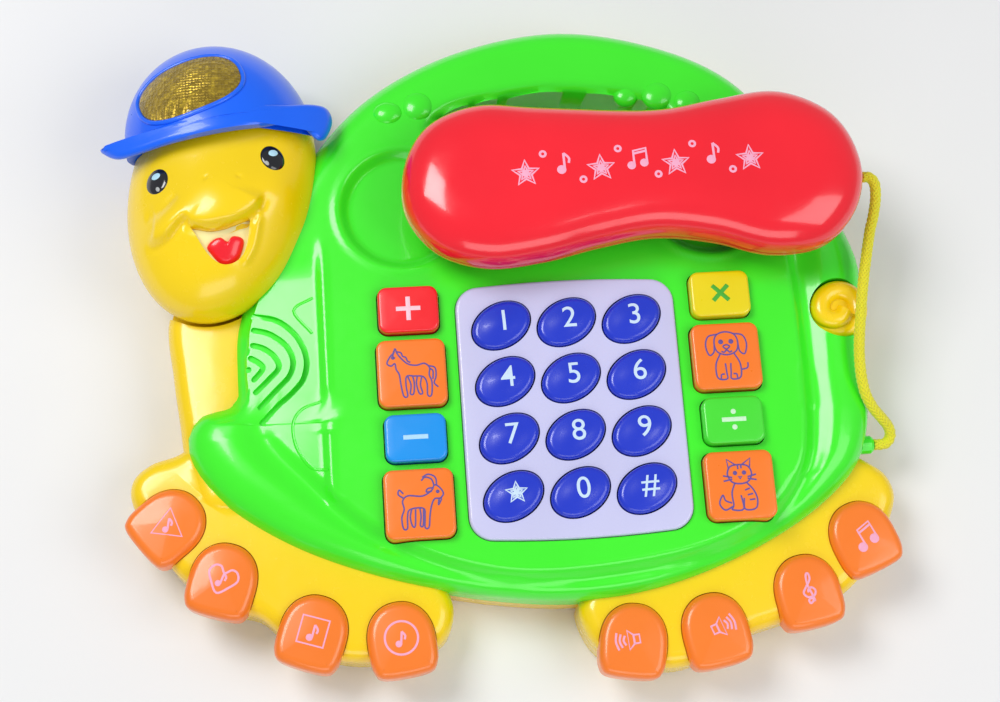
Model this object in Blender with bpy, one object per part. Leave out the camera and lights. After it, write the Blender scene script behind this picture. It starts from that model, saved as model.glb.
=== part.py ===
"""Turtle-shaped toy telephone, lying on its flat back with its face up.

Metres. +X runs along the rows of keys, +Y towards the carry handle, +Z up from the resting face.
The origin is on the resting face, under the middle of the twelve keys.
"""

import math

import bmesh
import bpy
from mathutils import Matrix, Vector

# ------------------------------------------------------------------ overall sizes
SHELL_WIDTH = 0.266       # green shell, left lobe to right edge
SHELL_LENGTH = 0.230      # green shell, bottom edge to the top of the handle
DECK_TOP = 0.038          # resting face to the flat deck
HEAD_WIDTH = 0.071
HEAD_LENGTH = 0.108
HANDSET_LENGTH = 0.177
HANDSET_LOBE = 0.065      # width of the handset across an end

# ------------------------------------------------------------------ walls and clearances
WALL = 0.0025
DECK_SIDE = 0.0018        # upright edge of the deck
GAP = 0.0003              # between pieces that touch
PLAY = 0.0005             # round a button in its hole
TRAVEL = 0.0016           # how far a key goes down

# ------------------------------------------------------------------ heights
BACK_TOP = 0.014          # parting line between the back cover and the front covers
RIM_BELOW_DECK = 0.0035
RIM_TOP = DECK_TOP - RIM_BELOW_DECK
FOOT_TOP = 0.024
PANEL_PROUD = 0.002       # keypad panel above the deck
KEY_PROUD = 0.003         # keys above their panel
BUTTON_PROUD = 0.0045     # side buttons above the deck
TOE_PROUD = 0.0055        # toes above the foot
CEILING = DECK_TOP - WALL  # inside of the deck
FLANGE = 0.002            # thickness of the rim that keeps a key in
PANEL_LOW = CEILING - GAP - FLANGE
KEY_LOW = PANEL_LOW - GAP - FLANGE
BOARD = 0.0016            # circuit board thickness

# ------------------------------------------------------------------ keys and buttons
KEY_LONG = 0.0237
KEY_SHORT = 0.0171
KEY_TURN = math.radians(28)
KEY_SPACE_X = 0.0026      # between neighbouring keys
KEY_SPACE_Y = 0.0033
PANEL_MARGIN_X = 0.0058
PANEL_MARGIN_Y = 0.0065
PANEL_BOW = 0.0012        # how much its long edges curve out
PANEL_LIP = 0.003         # flange of the panel under the deck
SIGN_BUTTON = (0.023, 0.018)
ANIMAL_BUTTON = (0.026, 0.026)
SIDE_SPACE = 0.003        # between two side buttons
SIDE_MARGIN = 0.005       # between the panel and a side button
SIDE_MIDDLE_Y = 0.0035
DECK_HALF = 0.0735        # room for buttons either side of the middle, at the deck's lower corners
BUTTON_LIP = 0.0009       # flange of a key or side button
TOE_WIDTH = 0.0255
TOE_LENGTH = 0.0275
TOE_SPACE = 0.0045
PAIR_SPACE = 0.013        # between the two pairs of toes of a foot
POST_RADIUS = 0.003

# ------------------------------------------------------------------ inside
BATTERY_DIAMETER = 0.0142
BATTERY_LENGTH = 0.0505
BATTERY_MIDDLE_Y = 0.068
DOOR_THICKNESS = 0.0022
SPEAKER_RADIUS = 0.015
SPEAKER_DEPTH = 0.014
BOSS_RADIUS = 0.0045
SCREW_RADIUS = 0.0014
SCREW_HEAD_RADIUS = 0.003
SCREW_LENGTH = 0.025

# ------------------------------------------------------------------ cord
CORD_DIAMETER = 0.004
BUSH_RADIUS = 0.0036
CORD_ROUTE = [  # at the normal sizes: handset's bush, over the tail, round to the bush in the shell's side
    (0.1196, 0.0835, 0.0478), (0.1222, 0.0833, 0.0477), (0.1242, 0.0808, 0.0472),
    (0.1243, 0.0755, 0.0459), (0.1230, 0.0689, 0.0444), (0.1211, 0.0625, 0.0430),
    (0.1184, 0.0508, 0.0413), (0.1160, 0.0396, 0.0403), (0.1139, 0.0279, 0.0396),
    (0.1124, 0.0181, 0.0390), (0.1120, 0.0100, 0.0380), (0.1126, 0.0040, 0.0364),
    (0.1142, -0.0012, 0.0342), (0.1172, -0.0055, 0.0313), (0.1210, -0.0088, 0.0278),
    (0.1240, -0.0115, 0.0245), (0.1250, -0.0143, 0.0218), (0.1237, -0.0166, 0.0205),
    (0.1215, -0.0172, 0.0203), (0.1200, -0.0172, 0.0203), (0.1185, -0.0172, 0.0203),
]

ACROSS = SHELL_WIDTH / 0.266  # the outlines below are drawn at this width and length
ALONG = SHELL_LENGTH / 0.230
HEAD_ACROSS = HEAD_WIDTH / 0.071
HEAD_ALONG = HEAD_LENGTH / 0.108

# ------------------------------------------------------------------ places
HEAD_PLACE = Vector((-0.1315 * ACROSS, 0.088 * ALONG, 0))
HEAD_TURN = math.radians(10)  # of the face and the cap
HEAD_LEAN = math.radians(-24)  # of the head's long oval from the face's own direction
HEAD_SHIFT = Vector((0.0037, 0.0070, 0))  # the oval's middle in the face's directions
HEAD_MIDDLE_Z = 0.032
HEAD_DOME = 0.030         # height of the face over its parting line
HEAD_BACK = 0.026
CAP_LINE = 0.024 * HEAD_ALONG  # where the cap meets the head, up from the head's middle
HANDSET_PLACE = Vector((0.0285, 0.084 * ALONG, 0))
HANDSET_FOOT = 0.0083     # the ear and mouth pods below the grip
HANDSET_SEAM = DECK_TOP + 0.016
HANDSET_TOP = DECK_TOP + 0.032
POD_RADIUS = 0.021
POD_PLACE = HANDSET_LENGTH / 2 - HANDSET_LOBE / 2
DISH_RADIUS = 0.0245
DISH_PLACE = Vector((0.060 * ACROSS, 0.083 * ALONG, 0))
DISH_DEPTH = 0.0035
TAIL_PLACE = Vector((0.108 * ACROSS, 0.035 * ALONG, 0))
TAIL_RADIUS = 0.0115
SPEAKER_PLACE = Vector((-0.1055 * ACROSS, 0.027 * ALONG, 0))
BOSS_PLACES = [(-0.084, -0.018), (0.084, -0.018), (-0.061, 0.118), (0.061, 0.118)]
BUSH_LENGTH = 0.007
BUSH_HEIGHT = 0.0203
BUSH_STEP = 0.0272        # from the right foot's end up to the bush


# ------------------------------------------------------------------ drawing helpers
def shell_point(x, y):
    """A point drawn at the normal size, moved with the shell's width and length."""
    return Vector((x * ACROSS, y * ALONG))


def smooth_loop(points, steps=3):
    """A closed smooth curve through the points, anticlockwise, with steps pieces between two of them."""
    count = len(points)
    loop = []
    for index in range(count):
        before, start, end, after = (points[(index + shift) % count] for shift in (-1, 0, 1, 2))
        for step in range(steps):
            t = step / steps
            loop.append(0.5 * (2 * start + (end - before) * t
                               + (2 * before - 5 * start + 4 * end - after) * t ** 2
                               + (after - before + 3 * start - 3 * end) * t ** 3))
    return loop


def normals_of(loop):
    """The outward direction at each point of an anticlockwise loop."""
    normals = []
    for index, point in enumerate(loop):
        into = (point - loop[index - 1]).normalized()
        out = (loop[(index + 1) % len(loop)] - point).normalized()
        along = (into + out).normalized()
        normals.append(Vector((along.y, -along.x)) / max(0.6, into.dot(along)))
    return normals


def grow(loop, distance):
    """The loop moved outwards by a distance, or inwards by a negative one."""
    return [point + normal * distance for point, normal in zip(loop, normals_of(loop))]


def ellipse(width, height, count=20, turn=0.0):
    points = [Vector((width / 2 * math.cos(a), height / 2 * math.sin(a)))
              for a in (2 * math.pi * k / count for k in range(count))]
    return [Matrix.Rotation(turn, 2) @ point for point in points]


def rounded_rectangle(width, height, radius, steps=3):
    loop = []
    corners = ((1, -1, -90), (1, 1, 0), (-1, 1, 90), (-1, -1, 180))
    for side_x, side_y, first in corners:
        centre = Vector((side_x * (width / 2 - radius), side_y * (height / 2 - radius)))
        for step in range(steps + 1):
            angle = math.radians(first + 90 * step / steps)
            loop.append(centre + radius * Vector((math.cos(angle), math.sin(angle))))
    return loop


def walk(loop, distance):
    """The point this far along a closed loop from its first point, and the outward direction there."""
    size = len(loop)
    steps = range(size) if distance >= 0 else range(0, -size, -1)
    left = abs(distance)
    for index in steps:
        start = loop[index % size]
        end = loop[(index + (1 if distance >= 0 else -1)) % size]
        piece = (end - start).length
        if left <= piece:
            along = (end - start).normalized() * (1 if distance >= 0 else -1)
            return start + (end - start) * left / piece, Vector((along.y, -along.x))
        left -= piece
    return loop[0], Vector((0, -1))


# ------------------------------------------------------------------ solids and cuts
for leftover in list(bpy.data.objects):
    bpy.data.objects.remove(leftover)

parts = bpy.data.collections.new("turtle_phone")
cutters = bpy.data.collections.new("cutters")
for collection in (parts, cutters):
    bpy.context.scene.collection.children.link(collection)


def material(name, colour, roughness=0.3, metallic=0.0):
    made = bpy.data.materials.new(name)
    made.use_nodes = True
    shader = made.node_tree.nodes["Principled BSDF"]
    shader.inputs["Base Color"].default_value = (*colour, 1)
    shader.inputs["Roughness"].default_value = roughness
    shader.inputs["Metallic"].default_value = metallic
    return made


GREEN = material("shell_green", (0.07, 0.85, 0.03), 0.25)
YELLOW = material("body_yellow", (0.92, 0.64, 0.01), 0.3)
BLUE = material("cap_blue", (0.0, 0.13, 0.85), 0.3)
KEY_BLUE = material("key_blue", (0.01, 0.05, 0.6), 0.3)
LILAC = material("panel_lilac", (0.62, 0.62, 0.85), 0.35)
ORANGE = material("toe_orange", (1.0, 0.22, 0.03), 0.35)
RED = material("handset_red", (0.95, 0.01, 0.03), 0.2)
SIGN_BLUE = material("minus_blue", (0.0, 0.35, 0.9), 0.35)
SIGN_YELLOW = material("times_yellow", (0.8, 0.7, 0.0), 0.35)
GOLD = material("lens_gold", (0.8, 0.55, 0.05), 0.1)
CORD_YELLOW = material("cord_yellow", (0.72, 0.68, 0.03), 0.7)
SILICONE = material("membrane_grey", (0.5, 0.5, 0.52), 0.6)
BOARD_BROWN = material("board_brown", (0.35, 0.2, 0.08), 0.5)
BLACK = material("speaker_black", (0.03, 0.03, 0.03), 0.5)
STEEL = material("steel", (0.6, 0.6, 0.62), 0.3, 1.0)


def finish(mesh_bm, name, look, location=(0, 0, 0), turn=0.0, cutter=False):
    """Turn a bmesh into a named object in its collection."""
    mesh = bpy.data.meshes.new(name)
    bmesh.ops.recalc_face_normals(mesh_bm, faces=mesh_bm.faces)
    mesh_bm.to_mesh(mesh)
    mesh_bm.free()
    made = bpy.data.objects.new(name, mesh)
    made.location = location
    made.rotation_euler.z = turn
    (cutters if cutter else parts).objects.link(made)
    if cutter:
        made.hide_render = True
        made.display_type = "WIRE"
    else:
        mesh.materials.append(look)
        mesh.shade_smooth()
        mesh.set_sharp_from_angle(angle=math.radians(35))
    return made


def stack(sections):
    """A closed bmesh through (loop, height) sections with equal numbers of points, drawn up one by one."""
    bm = bmesh.new()
    first_loop, first_height = sections[0]
    face = bm.faces.new([bm.verts.new((p.x, p.y, first_height)) for p in first_loop])
    for loop, height in sections[1:]:
        face = bmesh.ops.extrude_discrete_faces(bm, faces=[face])["faces"][0]
        for vertex, point in zip(face.verts, loop):
            vertex.co = (point.x, point.y, height)
    bmesh.ops.holes_fill(bm, edges=bm.edges)
    return bm


def piece(name, sections, look, location=(0, 0, 0), turn=0.0):
    return finish(stack(sections), name, look, location, turn)


def cutter(name, sections, location=(0, 0, 0), turn=0.0):
    return finish(stack(sections), name, None, location, turn, cutter=True)


def slab(loop, low, high):
    return [(loop, low), (loop, high)]


def disc(radius, low, high, count=16):
    return slab(ellipse(2 * radius, 2 * radius, count), low, high)


def boolean(target, tool, operation="DIFFERENCE"):
    modifier = target.modifiers.new(f"{operation.lower()}_{tool.name}", "BOOLEAN")
    modifier.operation = operation
    modifier.object = tool


def cut(target, *tools):
    for tool in tools:
        boolean(target, tool)


def join(target, *tools):
    for tool in tools:
        boolean(target, tool, "UNION")


def dome(centre, radii, rows=20):
    """A closed ellipsoid bmesh, with its poles across the toy so that the face is round."""
    bm = bmesh.new()
    bmesh.ops.create_uvsphere(bm, u_segments=rows, v_segments=rows // 2, radius=1.0)
    place = Matrix.Translation(centre) @ Matrix.Diagonal((*radii, 1))
    bmesh.ops.transform(bm, matrix=place, verts=bm.verts)
    return bm


def keep_side(bm, point, direction):
    """Keep the part of a closed bmesh that the direction points away from, and close the cut."""
    everything = bm.verts[:] + bm.edges[:] + bm.faces[:]
    bmesh.ops.bisect_plane(bm, geom=everything, plane_co=point, plane_no=direction, clear_outer=True)
    bmesh.ops.holes_fill(bm, edges=bm.edges)


# ------------------------------------------------------------------ outlines of the covers
shell_loop = smooth_loop([shell_point(x / 1000, y / 1000) for x, y in (
    (-9, -71), (33, -67.5), (76, -51.5), (106, -30), (116, -8), (115.5, 14), (118.5, 38),
    (119.5, 56), (112, 77), (98, 106), (76, 135), (45, 151.5), (6, 159), (-35, 152),
    (-70, 134.5), (-94, 110), (-108, 85), (-118, 62), (-126, 40), (-127, 22), (-128, 11),
    (-141, 7), (-145.5, -6), (-134, -26), (-103, -47), (-60, -62.5))])

deck_half = [(0, -65), (45, -60), (79, -46), (92, -21), (94, 20), (92, 60), (84, 98), (62, 128), (30, 145)]
deck_points = deck_half + [(0, 149)] + [(-x, y) for x, y in reversed(deck_half[1:])]
deck_loop = smooth_loop([shell_point(x / 1000, y / 1000) for x, y in deck_points], 2)

handle_hole = smooth_loop([shell_point(x / 1000, y / 1000) for x, y in (
    (4, 104), (38, 108), (48, 116), (38, 125), (4, 130), (-20, 128), (-38, 124), (-47, 115), (-32, 107))], 2)

neck_loop = smooth_loop([shell_point(x / 1000, y / 1000) for x, y in (
    (-147, -10), (-140, -30), (-118, -28), (-110, 0), (-110, 30), (-114, 66), (-140, 70),
    (-152, 48), (-151, 24), (-149, 6))], 3)

# Toes stand along a guide that follows the shell's edge: distance from the shell's lowest point to the
# foot's middle, and for each toe its name, its step off the guide and its turn from the guide's normal.
TOE_STANDOFF = 0.00725
FEET = {
    "left": (-0.110 * ACROSS, (("toe_triangle", -0.0035, -3), ("toe_heart", 0.001, 18),
                               ("toe_square", 0.0043, 1), ("toe_circle", -0.0005, 23))),
    "right": (0.0775 * ACROSS, (("toe_low_sound", -0.0044, -16), ("toe_high_sound", -0.0004, -5),
                                ("toe_clef", 0.0014, -15), ("toe_notes", -0.0031, -17))),
}
FOOT_EDGE = 0.008         # the foot's edge beyond the middle of the toes
FOOT_END = 0.017          # the foot's end beyond its last toe's middle
FOOT_TUCK = 0.016         # how far a foot reaches under the shell
guide = grow(shell_loop, TOE_LENGTH / 2 + TOE_STANDOFF)
toe_pitch = TOE_WIDTH + TOE_SPACE
pair_pitch = TOE_WIDTH + PAIR_SPACE
toe_steps = [-toe_pitch - pair_pitch / 2, -pair_pitch / 2, pair_pitch / 2, toe_pitch + pair_pitch / 2]


def foot_outline(middle):
    """The foot's plan: along the toes on the outside, tucked under the shell on the inside."""
    first, last = toe_steps[0] - FOOT_END, toe_steps[-1] + FOOT_END
    spots = [middle + first + (last - first) * k / 6 for k in range(7)]
    outer, inner = [], []
    for number, spot in enumerate(spots):
        point, normal = walk(guide, spot)
        ends = number in (0, 6)
        outer.append(point + normal * (FOOT_EDGE - (0.009 if ends else 0)))
        inner.append(point - normal * (TOE_LENGTH / 2 + TOE_STANDOFF + FOOT_TUCK))
    return smooth_loop(outer + inner[::-2], 3)


foot_loops = {side: foot_outline(middle) for side, (middle, _) in FEET.items()}
foot_end = walk(guide, FEET["right"][0] + toe_steps[-1] + FOOT_END)[0]
BUSH_PLACE = Vector((0.1145 * ACROSS, foot_end.y + BUSH_STEP, BUSH_HEIGHT))

# ------------------------------------------------------------------ head outlines
head_frame = Matrix.Translation(HEAD_PLACE) @ Matrix.Rotation(HEAD_TURN, 4, "Z")
head_radii = (HEAD_WIDTH / 2, HEAD_LENGTH / 2)
CAP_SIZE = (0.0375 * HEAD_ACROSS, 0.042 * HEAD_ALONG, 0.033)
CAP_SHIFT = 0.006         # the cap sits a little to the right on the head
BRIM_OVERHANG = 0.012     # the brim below the cap line, over the forehead
head_hole = [HEAD_SHIFT.xy + p for p in ellipse(HEAD_WIDTH + 2 * PLAY, HEAD_LENGTH + 2 * PLAY, 32, HEAD_LEAN)]
cap_hole = [Vector((CAP_SHIFT, CAP_LINE)) + p
            for p in ellipse(2 * CAP_SIZE[0] + 2 * PLAY, 2 * CAP_SIZE[1] + 2 * PLAY, 32)]
head_room = [cutter("head_room", slab(head_hole, -0.01, 0.09), HEAD_PLACE, HEAD_TURN),
             cutter("cap_room", slab(cap_hole, -0.01, 0.09), HEAD_PLACE, HEAD_TURN)]

# ------------------------------------------------------------------ back cover
handle_wall = grow(handle_hole, WALL)
back_cover = piece("back_cover", slab(shell_loop, 0, BACK_TOP), YELLOW)
neck_slab = cutter("neck_slab", slab(neck_loop, 0, BACK_TOP))
foot_slabs = [cutter(f"{side}_foot_slab", slab(loop, 0, BACK_TOP)) for side, loop in foot_loops.items()]
join(back_cover, neck_slab, *foot_slabs)
hollow_loops = [shell_loop, neck_loop, *foot_loops.values()]
cut(back_cover, *[cutter(f"back_hollow_{n}", slab(grow(loop, -WALL), WALL, BACK_TOP + 0.002))
                  for n, loop in enumerate(hollow_loops)])
cut(back_cover, *head_room)

bay_width = BATTERY_LENGTH + 0.0065
bay_length = 3 * BATTERY_DIAMETER + 4 * GAP + 0.001
bay_place = Vector((0, BATTERY_MIDDLE_Y, 0))
bay_wall_top = WALL + BATTERY_DIAMETER + 0.002
bay_frame = cutter("bay_frame", slab(rounded_rectangle(bay_width + 2 * WALL, bay_length + 2 * WALL, 0.002, 2),
                                     WALL / 2, bay_wall_top), bay_place)
bay_inside = cutter("bay_inside", slab(rounded_rectangle(bay_width, bay_length, 0.001, 2),
                                       -0.001, bay_wall_top + 0.001), bay_place)
handle_tube = cutter("handle_tube", slab(handle_wall, WALL / 2, BACK_TOP))
handle_way = cutter("handle_way", slab(handle_hole, -0.005, DECK_TOP + 0.005))
COUNTERBORE = 0.003
for number, (x, y) in enumerate(BOSS_PLACES, 1):
    spot = shell_point(x, y).to_3d()
    join(back_cover, cutter(f"boss_{number}", disc(BOSS_RADIUS, WALL / 2, BACK_TOP, 12), spot))
join(back_cover, handle_tube, bay_frame)
cut(back_cover, handle_way, bay_inside)
for number, (x, y) in enumerate(BOSS_PLACES, 1):
    spot = shell_point(x, y).to_3d()
    screw_way = [(ellipse(2 * SCREW_HEAD_RADIUS + 2 * GAP, 2 * SCREW_HEAD_RADIUS + 2 * GAP, 12), -0.001),
                 (ellipse(2 * SCREW_HEAD_RADIUS + 2 * GAP, 2 * SCREW_HEAD_RADIUS + 2 * GAP, 12), COUNTERBORE),
                 (ellipse(2 * SCREW_RADIUS + 2 * GAP, 2 * SCREW_RADIUS + 2 * GAP, 12), COUNTERBORE + GAP / 10),
                 (ellipse(2 * SCREW_RADIUS + 2 * GAP, 2 * SCREW_RADIUS + 2 * GAP, 12), BACK_TOP + 0.001)]
    cut(back_cover, cutter(f"screw_way_{number}", screw_way, spot))
    head_low = COUNTERBORE - GAP - 0.002
    screw = [(ellipse(2 * SCREW_HEAD_RADIUS, 2 * SCREW_HEAD_RADIUS, 12), head_low),
             (ellipse(2 * SCREW_HEAD_RADIUS, 2 * SCREW_HEAD_RADIUS, 12), COUNTERBORE - GAP),
             (ellipse(2 * SCREW_RADIUS, 2 * SCREW_RADIUS, 12), COUNTERBORE - GAP + GAP / 10),
             (ellipse(2 * SCREW_RADIUS, 2 * SCREW_RADIUS, 12), head_low + SCREW_LENGTH),
             (ellipse(SCREW_RADIUS, SCREW_RADIUS, 12), head_low + SCREW_LENGTH + 0.001)]
    piece(f"case_screw_{number}", screw, STEEL, spot)

# ------------------------------------------------------------------ battery compartment
door_loop = rounded_rectangle(bay_width - 2 * GAP, bay_length - 2 * GAP, 0.001, 2)
piece("battery_door", slab(door_loop, 0, DOOR_THICKNESS), YELLOW, bay_place)


def turned(name, profile, look, place, axis_turn):
    """A solid of discs along its own axis: (radius, distance) pairs, then laid down by a turn matrix."""
    bm = stack([(ellipse(2 * radius, 2 * radius, 16), height) for radius, height in profile])
    bmesh.ops.transform(bm, matrix=axis_turn, verts=bm.verts)
    return finish(bm, name, look, place)


LAY_ALONG_X = Matrix.Rotation(math.radians(90), 4, "Y")
battery_radius = BATTERY_DIAMETER / 2
nub = 0.0027
battery_half = BATTERY_LENGTH / 2
battery_profile = [(battery_radius, -battery_half), (battery_radius, battery_half - 0.0015),
                   (nub, battery_half - 0.0014), (nub, battery_half)]
battery_pitch = BATTERY_DIAMETER + GAP
for number in (-1, 0, 1):
    spot = bay_place + Vector((0, number * battery_pitch, DOOR_THICKNESS + GAP + battery_radius))
    way = 180 if number == 0 else 0
    lay = Matrix.Rotation(math.radians(way), 4, "Z") @ LAY_ALONG_X
    turned(f"battery_{number + 2}", battery_profile, BLUE, spot, lay)
contact = 0.001
for side, name in ((-1, "battery_contact_left"), (1, "battery_contact_right")):
    spot = bay_place + Vector((side * (battery_half + GAP + contact / 2), 0, 0))
    piece(name, slab(rounded_rectangle(contact, bay_length - 0.003, 0.0003, 2),
                     DOOR_THICKNESS + GAP, DOOR_THICKNESS + 0.012), STEEL, spot)

# ------------------------------------------------------------------ power switch in the back cover
SWITCH_PLACE = shell_point(0.045, 0.020)
SWITCH_SLOT = (0.018, 0.007)
SWITCH_KNOB = (0.009, 0.0055)
cut(back_cover, cutter("switch_slot", slab(rounded_rectangle(*SWITCH_SLOT, 0.001, 2), -0.001, WALL + 0.001),
                       SWITCH_PLACE.to_3d()))
SWITCH_THROW = 0.006
knob_loop = rounded_rectangle(*SWITCH_KNOB, 0.0008, 2)
slide_plate = rounded_rectangle(SWITCH_SLOT[0] + 2 * SWITCH_THROW, SWITCH_SLOT[1] + 0.004, 0.001, 2)
switch_spot = (SWITCH_PLACE + Vector((-SWITCH_THROW / 2, 0))).to_3d()
piece("power_slider", [(knob_loop, 0.0006), (knob_loop, WALL + GAP), (slide_plate, WALL + GAP + 0.00003),
                       (slide_plate, WALL + GAP + 0.0015)], BLACK, switch_spot)

# ------------------------------------------------------------------ shell cover
shell_low = BACK_TOP + GAP
shell_side = 0.010        # height of the shell's upright side
rim_sections = [(shell_loop, shell_low), (shell_loop, shell_low + shell_side),
                (grow(shell_loop, -0.0025), RIM_TOP - 0.0045), (grow(shell_loop, -0.006), RIM_TOP - 0.0012),
                (grow(shell_loop, -0.009), RIM_TOP)]
shell_cover = piece("shell_cover", rim_sections, GREEN)
deck_slab = [(deck_loop, RIM_TOP - 0.003), (deck_loop, DECK_TOP - 0.001), (grow(deck_loop, -0.001), DECK_TOP)]
join(shell_cover, cutter("deck", deck_slab))
inside = grow(shell_loop, -WALL)
cut(shell_cover,
    cutter("rim_hollow", [(inside, shell_low - 0.001), (inside, shell_low + shell_side - 0.001),
                          (grow(inside, -0.0025), RIM_TOP - 0.0045 - WALL),
                          (grow(inside, -0.006), RIM_TOP - WALL)]),
    cutter("deck_hollow", slab(grow(deck_loop, -DECK_SIDE), KEY_LOW - TRAVEL - 2 * GAP, CEILING)))
tube_top = DECK_TOP - WALL / 2
join(shell_cover, cutter("handle_tube_front", slab(handle_wall, shell_low, tube_top)))
for number, (x, y) in enumerate(BOSS_PLACES, 1):
    spot = shell_point(x, y).to_3d()
    join(shell_cover, cutter(f"front_boss_{number}", disc(BOSS_RADIUS, shell_low, tube_top, 12), spot))
for side in (-1, 1):
    spot = Vector((side * DISH_PLACE.x, DISH_PLACE.y, 0))
    name = "left" if side < 0 else "right"
    dish_floor = DECK_TOP - DISH_DEPTH
    join(shell_cover, cutter(f"{name}_dish_boss", disc(DISH_RADIUS + WALL, dish_floor - WALL, tube_top, 24), spot))
    bowl = [(ellipse(2 * DISH_RADIUS - 0.006, 2 * DISH_RADIUS - 0.006, 20), dish_floor),
            (ellipse(2 * DISH_RADIUS - 0.0015, 2 * DISH_RADIUS - 0.0015, 20), dish_floor + 0.0012),
            (ellipse(2 * DISH_RADIUS, 2 * DISH_RADIUS, 20), DECK_TOP + 0.001)]
    cut(shell_cover, cutter(f"{name}_dish", bowl, spot))
cut(shell_cover, handle_way, *head_room)
for number, (x, y) in enumerate(BOSS_PLACES, 1):
    pilot = disc(SCREW_RADIUS + GAP, shell_low - 0.001, head_low + SCREW_LENGTH + 0.002, 12)
    cut(shell_cover, cutter(f"pilot_{number}", pilot, shell_point(x, y).to_3d()))

# ------------------------------------------------------------------ tail
tail_room = cutter("tail_room", disc(TAIL_RADIUS + GAP, 0.010, DECK_TOP + 0.005, 28), TAIL_PLACE)
tail_wall = cutter("tail_wall", disc(TAIL_RADIUS + GAP + WALL, shell_low, RIM_TOP - 0.004, 28), TAIL_PLACE)
shell_prism = cutter("shell_prism", slab(grow(shell_loop, -WALL / 2), shell_low - 0.001, DECK_TOP))
boolean(tail_wall, shell_prism, "INTERSECT")
join(shell_cover, tail_wall)
cut(shell_cover, tail_room)
tail_top = RIM_TOP + 0.002
piece("tail", [(ellipse(2 * TAIL_RADIUS, 2 * TAIL_RADIUS, 24), shell_low),
               (ellipse(2 * TAIL_RADIUS, 2 * TAIL_RADIUS, 24), tail_top - 0.003),
               (ellipse(1.6 * TAIL_RADIUS, 1.6 * TAIL_RADIUS, 24), tail_top)], YELLOW, TAIL_PLACE)

# ------------------------------------------------------------------ feet and neck
shell_room = cutter("shell_room", slab(grow(shell_loop, GAP), 0.001, 0.09))


def foot_cover(name, loop, extra=None):
    """A yellow front cover of one foot, open below, cut to the shell's edge."""
    low = BACK_TOP + GAP
    cover = piece(name, [(loop, low), (loop, FOOT_TOP - 0.004), (grow(loop, -0.0012), FOOT_TOP - 0.0012),
                         (grow(loop, -0.004), FOOT_TOP)], YELLOW)
    if extra:
        join(cover, cutter(f"{name}_neck", extra))
    cut(cover, cutter(f"{name}_hollow", slab(grow(loop, -WALL), low - 0.001, FOOT_TOP - WALL)))
    if extra:
        neck = grow(neck_loop, -WALL)
        cut(cover, cutter(f"{name}_neck_hollow", slab(neck, low - 0.001, NECK_TOP - WALL)), *head_room)
    cut(cover, shell_room)
    return cover


NECK_TOP = 0.027
neck_sections = [(neck_loop, BACK_TOP + GAP), (neck_loop, NECK_TOP - 0.006),
                 (grow(neck_loop, -0.002), NECK_TOP - 0.002), (grow(neck_loop, -0.005), NECK_TOP)]
feet = {"left": foot_cover("left_foot_cover", foot_loops["left"], neck_sections),
        "right": foot_cover("right_foot_cover", foot_loops["right"])}


def toe_outline(size=0.0):
    """A toe seen from above, its rounded inner end towards +Y, grown by size."""
    half = TOE_WIDTH / 2
    inner = TOE_LENGTH / 2
    points = [(-half * 0.93, -inner * 0.75), (-half * 0.6, -inner), (half * 0.6, -inner), (half * 0.93, -inner * 0.75),
              (half, -inner * 0.2), (half * 0.88, inner * 0.35), (half * 0.5, inner * 0.9), (0, inner),
              (-half * 0.5, inner * 0.9), (-half * 0.88, inner * 0.35), (-half, -inner * 0.2)]
    return grow(smooth_loop([Vector(p) for p in points], 2), size)


board_top = 0.0076
toe_low = FOOT_TOP - 0.0055
toe_top = FOOT_TOP + TOE_PROUD
POST_SHIFT = Vector((0, 0.0065))  # towards the toe's inner end, clear of the foot's wall
post_loop = [point + POST_SHIFT for point in ellipse(2 * POST_RADIUS, 2 * POST_RADIUS, 22, math.radians(-130))]
post_low = board_top + TRAVEL + GAP
toe_sections = [(post_loop, post_low), (post_loop, toe_low - 0.00003), (toe_outline(), toe_low),
                (toe_outline(), toe_top - 0.002), (toe_outline(-0.002), toe_top)]
for side, (middle, toes) in FEET.items():
    for (name, step, turn), along in zip(toes, toe_steps):
        point, normal = walk(guide, middle + along)
        spot = (point + normal * step).to_3d()
        facing = math.atan2(normal.y, normal.x) + math.radians(turn + 90)
        piece(name, toe_sections, ORANGE, spot, facing)
        well = slab(toe_outline(PLAY), toe_low - TRAVEL - GAP, toe_top)
        cut(feet[side], cutter(f"{name}_well", well, spot, facing))
    board_loop = grow(foot_loops[side], -WALL - 0.0035)
    piece(f"{side}_toe_board", slab(board_loop, board_top - BOARD, board_top), BOARD_BROWN)

# ------------------------------------------------------------------ keypad
reach_x = math.hypot(KEY_LONG / 2 * math.cos(KEY_TURN), KEY_SHORT / 2 * math.sin(KEY_TURN))
reach_y = math.hypot(KEY_LONG / 2 * math.sin(KEY_TURN), KEY_SHORT / 2 * math.cos(KEY_TURN))
pitch_x = 2 * reach_x + KEY_SPACE_X
pitch_y = 2 * reach_y + KEY_SPACE_Y
panel_half_x = pitch_x + reach_x + PANEL_MARGIN_X
panel_half_y = 1.5 * pitch_y + reach_y + PANEL_MARGIN_Y
panel_top = DECK_TOP + PANEL_PROUD


def panel_outline(size=0.0):
    """The keypad panel: rounded corners, and a gentle bow along the top and bottom."""
    corner = 0.009
    loop = rounded_rectangle(2 * panel_half_x, 2 * panel_half_y, corner, 4)
    bowed = []
    for point in loop:
        bowed.append(point)
        if point is loop[4 * 2 + 1] or point is loop[-1]:
            side = 1 if point.y > 0 else -1
            for share in (0.25, 0.5, 0.75):
                reach = panel_half_x - corner
                x = side * reach * (1 - 2 * share)
                bowed.append(Vector((x, side * (panel_half_y + PANEL_BOW * (1 - (x / reach) ** 2)))))
    return grow(bowed, size)


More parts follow.
